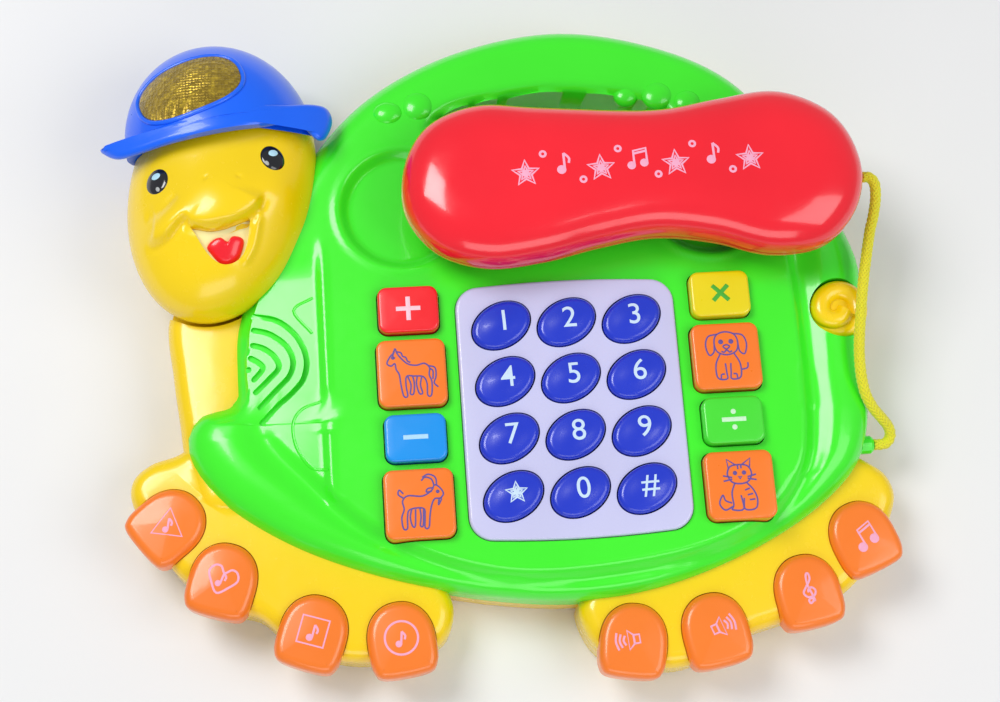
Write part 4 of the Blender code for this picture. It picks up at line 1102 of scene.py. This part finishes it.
GOAT = [
    ("closed", [(0.86, 0.3), (0.74, 0.52), (0.56, 0.62), (0.44, 0.42), (0.1, 0.24), (-0.4, 0.28), (-0.6, 0.1),
                (-0.56, -0.2), (-0.66, -0.5), (-0.62, -0.88), (-0.48, -0.88), (-0.46, -0.5), (-0.36, -0.22),
                (0.12, -0.2), (0.16, -0.5), (0.14, -0.88), (0.28, -0.88), (0.34, -0.46), (0.42, -0.1),
                (0.54, 0.12), (0.74, 0.14)]),
    ("open", [(0.54, 0.62), (0.46, 0.84), (0.24, 0.92), (0.1, 0.8)]),
    ("open", [(0.64, 0.6), (0.6, 0.9), (0.36, 1.02), (0.14, 0.92)]),
    ("open", [(0.52, 0.52), (0.32, 0.5), (0.26, 0.38), (0.46, 0.4)]),
    ("open", [(0.7, 0.14), (0.66, -0.1), (0.76, 0.06), (0.78, 0.16)]),
    ("open", [(-0.56, 0.2), (-0.74, 0.34), (-0.7, 0.5), (-0.56, 0.36)]),
    ("open", [(-0.3, -0.22), (-0.36, -0.5), (-0.3, -0.8), (-0.2, -0.8), (-0.16, -0.22)]),
    ("open", [(0.0, -0.2), (0.02, -0.5), (-0.02, -0.8), (0.08, -0.8), (0.12, -0.24)]), *filled_dot(0.66, 0.38, 0.05)]
DOG = [
    ("closed", [(0, 0.9), (0.34, 0.78), (0.44, 0.46), (0.34, 0.14), (0, 0.02), (-0.34, 0.14), (-0.44, 0.46),
                (-0.34, 0.78)]),
    *mirrored("open", [(0.3, 0.82), (0.64, 0.74), (0.76, 0.4), (0.66, 0.04), (0.48, 0.14), (0.44, 0.42)]),
    ("closed", [(0, 0.4), (0.12, 0.34), (0, 0.24), (-0.12, 0.34)]),
    ("open", [(-0.2, 0.16), (-0.1, 0.12), (0, 0.2), (0.1, 0.12), (0.2, 0.16)]),
    *filled_dot(-0.19, 0.52, 0.07), *filled_dot(0.19, 0.52, 0.07),
    *mirrored("open", [(0.26, 0.06), (0.44, -0.3), (0.46, -0.7), (0.36, -0.88), (0.08, -0.88), (0.08, -0.66),
                       (0.1, -0.3)]),
    *mirrored("open", [(0.3, -0.86), (0.28, -0.72), (0.16, -0.7)]),
    ("open", [(0.46, -0.56), (0.7, -0.5), (0.74, -0.3)])]
CAT = [
    ("closed", [(-0.02, 0.72), (0.3, 0.66), (0.42, 0.38), (0.28, 0.1), (-0.02, 0.02), (-0.32, 0.1), (-0.46, 0.38),
                (-0.34, 0.66)]),
    ("straight", [(-0.4, 0.56), (-0.44, 0.94), (-0.14, 0.72)]),
    ("straight", [(0.36, 0.56), (0.42, 0.94), (0.1, 0.72)]),
    *filled_dot(-0.18, 0.42, 0.06), *filled_dot(0.15, 0.42, 0.06),
    ("corners", [(-0.07, 0.28), (0.05, 0.28), (-0.01, 0.2)]),
    ("straight", [(-0.3, 0.26), (-0.62, 0.34)]), ("straight", [(-0.3, 0.2), (-0.62, 0.14)]),
    ("straight", [(0.26, 0.26), (0.58, 0.34)]), ("straight", [(0.26, 0.2), (0.58, 0.14)]),
    ("open", [(-0.22, 0.06), (-0.36, -0.3), (-0.34, -0.74), (-0.4, -0.9), (0.0, -0.9), (-0.04, -0.4)]),
    ("open", [(0.2, 0.06), (0.44, -0.24), (0.54, -0.6), (0.44, -0.9), (0.06, -0.9), (0.06, -0.5)]),
    ("open", [(-0.36, -0.78), (-0.66, -0.9), (-0.84, -0.66), (-0.7, -0.36), (-0.62, -0.56), (-0.4, -0.66)]),
    ("straight", [(0.3, -0.16), (0.12, -0.22)]), ("straight", [(0.4, -0.36), (0.2, -0.4)]),
    ("straight", [(0.46, -0.56), (0.26, -0.58)]), ("straight", [(-0.06, 0.7), (-0.06, 0.56)]),
    ("straight", [(0.06, 0.7), (0.06, 0.58)])]
SIGNS = {"button_plus": (plus_red, PLUS, sign_pink), "button_minus": (minus_blue, MINUS, sign_blue),
         "button_times": (times_yellow, TIMES, sign_green), "button_divide": (divide_green, DIVIDE, sign_mint)}
ANIMALS = {"button_horse": HORSE, "button_goat": GOAT, "button_dog": DOG, "button_cat": CAT}
SIGN_SIZE, SIGN_WIDTH = 0.0058, 0.0017
ANIMAL_SIZE, ANIMAL_WIDTH = 0.0104, 0.00062


# %% Side button caps
def make_side_button(name, look, strokes, ink, size, width):
    middle, _, high = middle_of(name)
    loop = button_outline(name)
    sections = round_edge(loop, RIM - 0.001, high.z - 0.0003, 0.0012, 5)
    button = to_object(rise(crown(sections, 0.0003, 4)), f"{name}_cap", look)
    mount(button, name, name)
    mark = lay_on(stroke_mesh(strokes, size, width), f"{name}_print", surface_of(button),
                  Vector((middle.x, middle.y, high.z)), 0.0, ink, 0.00016)
    mount(mark, name)


for name, (look, strokes, ink) in SIGNS.items():
    make_side_button(name, look, strokes, ink, SIGN_SIZE, SIGN_WIDTH)
for name, strokes in ANIMALS.items():
    make_side_button(name, orange, strokes, print_blue, ANIMAL_SIZE, ANIMAL_WIDTH)

# %% [markdown]
# ## The head
#
# The head is a fat oval with a broad muzzle. Like the shell, its front is made of rings, from the parting
# line up to the middle of the face. Rules swell the muzzle and the cheeks and press in the smile. The
# open mouth is a pocket cut by a Boolean, with a cream floor and a red tongue laid in it.

# %% Face rules
HEAD_Z = 0.032
FACE_DOME = 0.030
MUZZLE_EDGE = [(-29, -13.5), (-26, -15.6), (-20.2, -15.2), (-15.1, -12.0), (-12.3, -10.6), (-10.7, -13.0),
               (-5.9, -15.0), (0, -15.6), (7.5, -15.3), (14, -12.8), (17.3, -9.7), (19.7, -5.4)]
CHEEK_LINE = [(-27, -3.5), (-23.2, -4.6), (-19, -3.7), (-15.4, -1.2), (-12.6, 0.3)]
MOUTH_RIM = [(16.5, -10.5), (13.8, -17.8), (10.2, -25.1), (5, -31)]
MOUTH = [(-10.6, -13.4), (-10.3, -14.2), (-9.5, -16.3), (-7.9, -21), (-6.2, -24.8), (-3.9, -27.7), (-1.2, -29.2),
         (2.4, -29.0), (6, -26.9), (8.4, -23.1), (10, -19.1), (11.2, -15.6), (11.4, -14.6), (10.6, -14.4),
         (5.8, -15.4), (0.1, -16.0), (-4.8, -15.5), (-9.8, -13.5)]
TONGUE = [(-6.9, -21.8), (-4.1, -19.6), (-0.7, -19.2), (1.6, -21.2), (4, -19.6), (6.9, -20.3), (8.0, -22),
          (6.6, -25.4), (4.2, -28.6), (0.8, -30), (-1.2, -30), (-3.8, -28.2), (-5.7, -25)]
SWELLS = [(2, -5, 19, 12, 0.0042), (-21, -10, 8, 6, 0.0022), (26, -7, 8, 9, 0.0016), (1, -33, 16, 9, 0.0014),
          (-18, 10, 9, 9, -0.0008), (20, 12, 9, 9, -0.0008),
          (-1.4, 3.5, 0.8, 0.9, -0.0006), (11.0, 1.5, 0.8, 0.9, -0.0006)]


def face_line(points):
    return smooth_line([head_spot(x * MM, y * MM) for x, y in points], steps=6)


muzzle_edge, cheek_line, mouth_rim = face_line(MUZZLE_EDGE), face_line(CHEEK_LINE), face_line(MOUTH_RIM)


def along_line(line, spot):
    """Signed distance to an open line, positive on its left, and the place along it, 0 to 1."""
    best = (1.0, 0.0, 1.0)
    for i, (start, end) in enumerate(zip(line, line[1:])):
        along = end - start
        share = max(0.0, min(1.0, (spot - start).dot(along) / along.length_squared))
        reach = (spot - start - along * share).length
        if reach < best[0]:
            side = 1.0 if along.cross(spot - start) > 0 else -1.0
            best = (reach, (i + share) / (len(line) - 1), side)
    return best[0] * best[2], best[1]


def line_fade(place):
    """Nothing at both ends of a line and all of it between."""
    return soft(place / 0.12) * soft((1 - place) / 0.12)


def swell(local, x, y, width, height, amount):
    reach = ((local.x - x * MM) / (width * MM)) ** 2 + ((local.y - y * MM) / (height * MM)) ** 2
    return amount * math.exp(-reach)


def face_height(spot, share):
    """The dome of the face with its muzzle, cheeks, chin, eye hollows and nostrils, then the three lines."""
    local = Matrix.Rotation(-HEAD_TURN, 2) @ (spot - HEAD)
    level = HEAD_Z + (FACE_DOME - 0.0052) * math.sqrt(max(0.0, 1 - share ** 2.3))
    level += sum(swell(local, *rule) for rule in SWELLS)
    reach, along = along_line(muzzle_edge, spot)
    level += 0.0026 * soft((reach + 0.0006) / 0.0026) * math.exp(-(max(0.0, reach) / 0.008) ** 2) * line_fade(along)
    level -= 0.0012 * math.exp(-((reach + 0.0006) / 0.0016) ** 2) * line_fade(along)
    reach, along = along_line(cheek_line, spot)
    level -= 0.0007 * math.exp(-(reach / 0.0017) ** 2) * line_fade(along)
    reach, along = along_line(mouth_rim, spot)
    level += 0.0010 * math.exp(-(reach / 0.0012) ** 2) * line_fade(along)
    return level


# %% Head front, mouth and tongue
def cut_flat(bm, y_limit, side=1):
    """Cut off what lies beyond a line across the head, above it or for side -1 below it, and close it."""
    normal = Matrix.Rotation(HEAD_TURN, 2) @ Vector((0, side))
    point = head_spot(0, y_limit)
    everything = bm.verts[:] + bm.edges[:] + bm.faces[:]
    bmesh.ops.bisect_plane(bm, geom=everything, plane_co=(point.x, point.y, 0),
                           plane_no=(normal.x, normal.y, 0), clear_outer=True)
    bmesh.ops.holes_fill(bm, edges=bm.edges)
    bmesh.ops.recalc_face_normals(bm, faces=bm.faces)
    return bm


def face_sections():
    sections = [lift(head_loop(1.0), HEAD_Z + 0.00015)]
    for step in range(1, 76):
        share = math.cos(math.pi / 2 * step / 76) ** 0.9
        ring_points = head_loop(share)
        sections.append([Vector((p.x, p.y, face_height(p, share))) for p in ring_points])
    return sections


face = to_object(cut_flat(rise(face_sections()), CAP_LINE - 0.0002), "face", yellow, 70)
mouth_loop = even_loop(on_face(MOUTH), 80)
mouth_depth = 0.0035
face_surface = surface_of(face)


def sunk(loop, sink):
    """The loop laid on the face and pushed in."""
    return [Vector((p.x, p.y, height_on(face_surface, p.x, p.y, HEAD_Z) - sink)) for p in loop]


pocket = rise([sunk(mouth_loop, mouth_depth), sunk(grow(mouth_loop, 0.0003), -0.01)])
floor_loop = grow(mouth_loop, -0.0001)
floor_of_mouth = rise([sunk(floor_loop, mouth_depth + 0.001), sunk(floor_loop, mouth_depth - 0.0004)])
tongue_loop = even_loop(on_face([(x * 0.94, y * 0.94 - 0.6) for x, y in TONGUE]), 72)
tongue_heart = head_spot(0.0004, -0.0242)
tongue_sections = [sunk(tongue_loop, mouth_depth + 0.0004)]
for step in range(10):
    angle = math.pi / 2 * step / 10
    shrunk = [tongue_heart + (p - tongue_heart) * math.cos(angle) ** 0.6 for p in tongue_loop]
    tongue_sections.append(sunk(shrunk, mouth_depth - 0.0024 * math.sin(angle)))
carve(face, [pocket], sharp=50)
mount(face, "casing", "head_front")
mount(to_object(floor_of_mouth, "mouth_floor", cream), "casing")
mount(to_object(rise(tongue_sections), "tongue", tongue_red), "casing")

# %% [markdown]
# The eyes are glossy black ovals that stand a little proud, each with painted highlights: a pale blue glint above
# and a small grey one below, coloured pieces standing for reflected light. The back of the head is a plain shallow
# dome.

# %% Eyes and the back of the head
def bead_on_face(name, centre, size, turn, look, sink, height, tree):
    loop = ellipse(size[0], size[1], 40, turn, centre)
    sections = []
    for step in range(8):
        angle = math.pi / 2 * step / 8
        shrunk = [Vector(centre) + (p - Vector(centre)) * math.cos(angle) for p in loop]
        top = height * math.sin(angle)
        sections.append([Vector((p.x, p.y, height_on(tree, p.x, p.y, HEAD_Z) - sink + top)) for p in shrunk])
    return mount(to_object(rise(sections), name, look), "casing")


EYES = {"left": ((-0.1521, 0.0931), -8, (-0.4, 1.9), (0.3, -3.6)),
        "right": ((-0.1084, 0.1000), 22, (0.4, 1.8), (-2.0, -2.6))}
for side, (spot, turn, glint, spark) in EYES.items():
    eye = bead_on_face(f"{side}_eye", spot, (0.0088, 0.0106), math.radians(turn), eye_black, 0.0003, 0.0015,
                       face_surface)
    eye_surface = surface_of(eye)
    # Painted highlights: the glint and the spark are thin coloured pieces in place of light reflected by the eye.
    for part, shift, size, lean, look in (("glint", glint, (0.0035, 0.0027), 0.3, painted_eye_glint),
                                          ("spark", spark, (0.0014, 0.0020), 0.5, painted_eye_grey_glint)):
        bead_on_face(f"{side}_eye_{part}", Vector(spot) + Vector(shift) * MM, size, lean, look, 0.0, 0.0002,
                     eye_surface)

back_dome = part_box("head_back")[0].z
sections = [lift(head_loop(1.0, 96), HEAD_Z - 0.00015)]
for step in range(1, 30):
    angle = math.pi / 2 * step / 30
    sections.append(lift(head_loop(math.cos(angle), 96), HEAD_Z - (HEAD_Z - back_dome) * math.sin(angle)))
head_back = to_object(cut_flat(rise(sections), CAP_LINE - 0.0002), "head_back_shell", yellow, 70)
mount(head_back, "casing", "head_back")

# %% [markdown]
# ## The cap
#
# The cap is a half dome over the head's top. It starts as a sphere, stretched, cut off at the cap line and
# given a brim that arches over the forehead. An oval opening takes the lamp's lens, with a raised rim
# round it. The lens is a slice of a slightly bigger dome.

# %% Cap, brim and lens
LENS_MIDDLE = (0.0000, CAP_LINE + 0.0163)
LENS_WIDTH, LENS_HEIGHT = 0.040, 0.0235
LENS_TURN = math.radians(9)
LENS_LOW = HEAD_Z + 0.012


def cap_dome(grown):
    """The cap's stretched sphere, narrower towards its left and below, cut off at the cap line."""
    bm = bmesh.new()
    bmesh.ops.create_uvsphere(bm, u_segments=120, v_segments=64, radius=1.0)
    for vertex in bm.verts:
        if vertex.co.z < 0:
            vertex.co.x *= 1 + 0.40 * max(-1.0, 1.6 * vertex.co.z)
        if vertex.co.x < 0:
            vertex.co.x *= 1 - 0.26 * soft((0.40 - vertex.co.z) / 0.8)
    centre = head_spot(CAP_SHIFT, CAP_LINE)
    place = (Matrix.Translation((centre.x, centre.y, HEAD_Z)) @ Matrix.Rotation(HEAD_TURN, 4, "Z")
             @ Matrix.Diagonal((*(size + grown for size in CAP_SIZE), 1)))
    bmesh.ops.transform(bm, matrix=place, verts=bm.verts)
    return cut_flat(bm, CAP_LINE + 0.0002, -1)


def squared_oval(width, height):
    """An oval with fuller corners, as the lens has."""
    loop = []
    for k in range(72):
        angle = 2 * math.pi * k / 72
        c, t = math.cos(angle), math.sin(angle)
        flat = Vector((width / 2 * math.copysign(abs(c) ** 0.8, c), height / 2 * math.copysign(abs(t) ** 0.8, t)))
        loop.append(Matrix.Rotation(LENS_TURN, 2) @ flat + Vector(LENS_MIDDLE))
    return loop


def lens_outline(size):
    return [head_spot(*p) for p in squared_oval(LENS_WIDTH + 2 * size, LENS_HEIGHT + 2 * size)]


cap = to_object(cap_dome(0.0), "cap_shell", cap_blue, 60)
cap_surface = surface_of(cap)
BRIM = [(-37, 1.5), (-32, -3), (-24, -4.4), (-14, -4.6), (0, -4.9), (14, -5.0), (24, -5.0), (33, -4.2), (38, -4.8),
        (41, -9), (43.5, -11.5), (46.5, -10.5), (49.5, -6), (51, -1.5), (50, 2.5), (45, 4), (30, 3.4), (0, 2.8),
        (-22, 2.8), (-37, 4)]
brim_loop = even_loop(smooth_loop([Vector((x, y)) * MM + Vector((0, CAP_LINE)) for x, y in BRIM], 6, 1.0), 150)


def brim_height(local):
    """The brim arches like the forehead under it and tips forward at its edge."""
    arch = 0.0165 * ((local.x - 0.004) / 0.046) ** 2
    return 0.0585 - arch + 0.10 * max(0.0, CAP_LINE - local.y)


def dome_height(local):
    """Height of the cap's dome over a place in the face's own directions."""
    reach = ((local.x - CAP_SHIFT) / CAP_SIZE[0]) ** 2 + ((local.y - CAP_LINE) / CAP_SIZE[1]) ** 2
    return HEAD_Z + CAP_SIZE[2] * math.sqrt(max(0.0, 1 - reach))


def brim_section(loop, rise_by, hug=False):
    """The loop at the brim's height. With hug, the brim climbs the dome in a soft hollow curve."""
    points = []
    for p in loop:
        height = brim_height(p) + rise_by
        if hug:
            dome = dome_height(p) - 0.0003
            share = max(0.0, min(1.0, 0.5 + (height - dome) / 0.006))
            height = dome + (height - dome) * share + 0.003 * share * (1 - share)
        points.append(Vector((*head_spot(p.x, p.y), height)))
    return points


thick = 0.0046
brim_sections = []
for step in range(9):
    angle = math.pi * step / 8
    edge = grow(brim_loop, -thick / 2 * (1 - math.sin(angle)))
    brim_sections.append(brim_section(edge, thick / 2 * (1 - math.cos(angle)), step > 4))
inner = grow(brim_loop, -thick / 2)
heart = Vector((0.004, CAP_LINE))
for share in (0.93, 0.86, 0.78, 0.7, 0.6, 0.5, 0.38, 0.25, 0.1):
    brim_sections.append(brim_section([heart + (p - heart) * share for p in inner], thick, True))
    brim_sections.insert(0, brim_section([heart + (p - heart) * share for p in inner], 0.0))
brim = to_object(rise(brim_sections), "cap_brim", cap_blue, 60)
mount(brim, "casing")
carve(cap, [column(lens_outline(0.0003), LENS_LOW, OVER_ALL)])
mount(cap, "casing", "cap")
lens = to_object(cap_dome(0.0006), "cap_lens_gold", lens_gold, 60)
carve(lens, [column(lens_outline(0.0), LENS_LOW, OVER_ALL)], "INTERSECT")
mount(lens, "casing", "cap_lens")


rim_line = [(p.x, p.y, height_on(cap_surface, p.x, p.y, HEAD_Z)) for p in lens_outline(0.0008)]
mount(tube_piece("lens_rim", [(rim_line, True, None)], 0.002, cap_blue, 3), "casing")

# %% [markdown]
# ## The tail
#
# The tail is a little curl on a round base. One thick roll goes almost once round and turns in at its end,
# where it tapers a little and makes a knob in the middle.

# %% Tail
def make_tail():
    base_loop = ellipse(2 * tail_radius, 2 * tail_radius, 64, centre=tail_middle.xy)
    top = tail_high.z - 0.0035
    base = to_object(rise(crown(round_edge(base_loop, tail_low.z, top, 0.003, 6), 0.001, 4)), "tail_base", yellow)
    mount(base, "casing", "tail")
    line, widths = [], []
    count = 60
    for k in range(count + 1):
        share = k / count
        angle = math.radians(-35 + 350 * share)
        inwards = soft((share - 0.62) / 0.38)
        reach = (tail_radius - 0.0042) * (1 - 0.80 * inwards)
        line.append((tail_middle.x + reach * math.cos(angle) + 0.0012 * inwards,
                     tail_middle.y + reach * math.sin(angle), top - 0.0004 + 0.0006 * inwards))
        widths.append(4.0 - 0.4 * inwards)
    mount(tube_piece("tail_curl", [(line, False, widths)], 0.002, yellow, 4), "casing")


make_tail()

# %% [markdown]
# ## The handset
#
# Two red halves with a fine parting line. The front swells like a bar of soap and the back has two round
# pods for the ear and the mouth. On the front is a cheerful print of stars and notes.

# %% Handset halves
handset_points = [(-88, -9), (-77, -25), (-58, -32), (-36, -30.5), (-15, -26), (7, -23), (29, -26), (50, -32),
                  (70, -30), (83, -19), (88.5, -3), (85, 14), (75, 26), (57, 33), (34, 30.5), (8, 27),
                  (-34, 30), (-58, 32), (-77, 25), (-87, 10)]
front_low, front_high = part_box("handset_front")
back_low, back_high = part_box("handset_back")
HANDSET = Vector((front_high.x - 0.0885, 0.084))
handset_loop = even_loop([HANDSET + p for p in smooth_loop(handset_points)], 260)


WALL_FOOT = 0.001


def soap_sections(loop, height, inset, steps=12, power=2.4):
    """Sections that swell from a low upright wall to a rounded top."""
    sections = [lift(loop, 0.0), lift(loop, WALL_FOOT)]
    for step in range(1, steps + 1):
        angle = math.pi / 2 * step / steps
        shift = inset * (1 - math.cos(angle) ** (2 / power))
        sections.append(lift(grow(loop, -shift), WALL_FOOT + (height - WALL_FOOT) * math.sin(angle) ** (2 / power)))
    return sections


def handset_sections():
    """Rings of the front half: its height depends on the distance to the outline, so it is puffy all round."""
    low, high = front_low.z + 0.0002, front_high.z
    edges = loop_edges(even_loop(handset_loop, 130))
    rings = [grow(handset_loop, -0.008 * (step / 16) ** 2) for step in range(1, 17)]
    last = rings[-1]
    for step in range(1, 36):
        rings.append([HANDSET + (p - HANDSET) * (1 - step / 36) for p in last])
    sections = [lift(handset_loop, low), lift(handset_loop, low + WALL_FOOT)]
    for ring in rings:
        section = []
        for p in ring:
            share = min(1.0, distance_to(edges, p) / 0.0215)
            dome = (1 - (1 - share) ** 2.5) ** (1 / 2.2)
            bow = 0.0016 * ((p.x - HANDSET.x) / 0.088) ** 2 + 0.0010 * ((p.y - HANDSET.y) / 0.032) ** 2
            section.append(Vector((p.x, p.y, low + WALL_FOOT + (high - low - WALL_FOOT - bow) * dome)))
        sections.append(section)
    return sections


front = to_object(rise(handset_sections()), "handset_front_shell", red, 60)
mount(front, "handset", "handset_front")
front_surface = surface_of(front)
grip_bottom = back_low.z + 0.0083
sections = soap_sections(handset_loop, back_high.z - grip_bottom, 0.010)
back_half = [[Vector((p.x, p.y, back_high.z - 0.0002 - p.z)) for p in section] for section in sections]
handset_under = to_object(rise(crown(back_half, 0.0, 3)), "handset_back_shell", red, 60)
POD_SIZE, POD_DEPTH = 0.042, 0.011
pods = []
for side in (-1, 1):
    centre = HANDSET + Vector((side * 0.056, 0))
    pod = round_edge(disc(POD_SIZE, 72, centre), 0.0, POD_DEPTH, 0.003, 5)
    pods.append(rise([[Vector((p.x, p.y, back_low.z + POD_DEPTH - p.z)) for p in section] for section in pod]))
carve(handset_under, pods, "UNION")
mount(handset_under, "handset", "handset_back")


# %% The print on the handset
def handset_print():
    row = []
    motifs = ["star", "note", "star", "beam", "star", "note", "star"]
    pitch = 2.15
    for k, motif in enumerate(motifs):
        x = (k - 3) * pitch
        y = 0.35 * (1 if k % 2 else -0.4)
        size = 0.95 if k % 2 else 0.8
        strokes = {"star": star_strokes(), "note": note(-0.1, -0.45, 1.3), "beam": BEAMED}[motif]
        for kind, points in strokes:
            if kind == "dot":
                row.append((kind, ((x + points[0][0] * size, y + points[0][1] * size), points[1] * size)))
            else:
                row.append((kind, [(x + px * size, y + py * size) for px, py in points]))
    row += [("closed", ring((k - 2.5) * pitch, -0.75 if k % 2 else 0.95, 0.16, 8)) for k in range(6)]
    return row


mark = lay_on(stroke_mesh(handset_print(), 0.0066, 0.0009), "handset_print", front_surface,
              Vector((HANDSET.x, HANDSET.y + 0.001, front_high.z)), math.radians(1.5), pink)
mount(mark, "handset")

# %% [markdown]
# ## The rope
#
# The handset hangs on a braided rope, 4 mm thick and about 12 cm long. It leaves the handset's end, passes
# the tail, drops over the shell's edge and ends in a bush low in the shell's side. Its surface is real braid:
# eight strands wind one way and eight the other, over and under each other, round a thin core.

# %% The rope's route
CORD_DIAMETER = 0.004
CORD_SPACING = 0.0005
CORD_ROUTE = [
    (0.1196, 0.0835, 0.0478), (0.1222, 0.0833, 0.0477), (0.1242, 0.0808, 0.0472),
    (0.1243, 0.0755, 0.0459), (0.1230, 0.0689, 0.0444), (0.1211, 0.0625, 0.0430),
    (0.1184, 0.0508, 0.0413), (0.1160, 0.0396, 0.0403), (0.1139, 0.0279, 0.0396),
    (0.1124, 0.0181, 0.0390), (0.1120, 0.0100, 0.0380), (0.1126, 0.0040, 0.0364),
    (0.1142, -0.0012, 0.0342), (0.1172, -0.0055, 0.0313), (0.1210, -0.0088, 0.0278),
    (0.1240, -0.0115, 0.0245), (0.1250, -0.0143, 0.0218), (0.1237, -0.0166, 0.0205),
    (0.1215, -0.0172, 0.0203), (0.1200, -0.0172, 0.0203), (0.1185, -0.0172, 0.0203)]


def rope_path(points, spacing, steps=24):
    """The smooth line through the route at even steps, with its length."""
    spots = [Vector(p) for p in points]
    padded = [spots[0] * 2 - spots[1], *spots, spots[-1] * 2 - spots[-2]]
    fine = []
    for four in zip(padded, padded[1:], padded[2:], padded[3:]):
        fine += [between(*four, step / steps) for step in range(steps)]
    fine.append(spots[-1])
    total = sum((b - a).length for a, b in zip(fine, fine[1:]))
    return [*even_steps(fine, round(total / spacing)), fine[-1]], total


rope_line, rope_length = rope_path(CORD_ROUTE, CORD_SPACING)
print("rope length", round(rope_length, 4))


# %% Braiding the rope
def frames_along(path):
    """A steady pair of side directions at every point of the path."""
    side = Vector((0, 0, 1))
    frames = []
    for i, spot in enumerate(path):
        along = (path[min(i + 1, len(path) - 1)] - path[max(i - 1, 0)]).normalized()
        side = (side - along * side.dot(along)).normalized()
        frames.append((spot, side, along.cross(side)))
    return frames


STRANDS = 8
BRAID_PITCH = 0.016
CORE_SHARE = 2.9


def strand_line(frames, hand, number):
    """One strand, which winds left or right and weaves over and under the others."""
    line = []
    for i, (spot, side, other) in enumerate(frames):
        turn = CORD_SPACING * i / BRAID_PITCH * 2 * math.pi
        angle = hand * turn + 2 * math.pi * number / STRANDS
        weave = math.cos(STRANDS / 2 * turn + math.pi * number + (0 if hand > 0 else math.pi))
        reach = CORD_DIAMETER / 2 * (0.80 + 0.07 * weave)
        line.append(spot + (side * math.cos(angle) + other * math.sin(angle)) * reach)
    return line


def make_rope():
    frames = frames_along(rope_line)
    lines = [(strand_line(frames, hand, number), False, None) for hand in (1, -1) for number in range(STRANDS)]
    lines.append((rope_line, False, [CORE_SHARE] * len(rope_line)))
    rope = tube_piece("rope", lines, CORD_DIAMETER / 4, rope_yellow)
    rope_line[::4] + [rope_line[-1]]
    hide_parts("cord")
    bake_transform(rope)
    return rope


rope = make_rope()
print("rope triangles", sum(len(p.vertices) - 2 for p in rope.data.polygons))

# %% [markdown]
# ## Finishing the small pieces
#
# The battery door, the switch, the screws and the bushes keep their solids. They only need a real finish.

# %% Finishes for the pieces that stay
BOARD = plastic("board_brown", (0.30, 0.17, 0.06), 0.5, coat=0.0)
KEEPS = {"battery_door": yellow, "power_slider": black, "handset_bush": red, "cord_bush": green, "speaker": black,
         "key_membrane": plastic("membrane_grey", (0.5, 0.5, 0.52), 0.6, coat=0.0), "main_board": BOARD,
         "left_toe_board": BOARD, "right_toe_board": BOARD, "cap_lamp_board": BOARD,
         "battery_contact_left": steel, "battery_contact_right": steel}
CELL = plastic("battery_can", (0.03, 0.08, 0.45), 0.3)
KEEPS.update({f"battery_{n}": CELL for n in (1, 2, 3)})
KEEPS.update({f"case_screw_{n}": steel for n in (1, 2, 3, 4)})
for name, look in KEEPS.items():
    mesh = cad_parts[name].data
    mesh.materials.clear()
    mesh.materials.append(look)
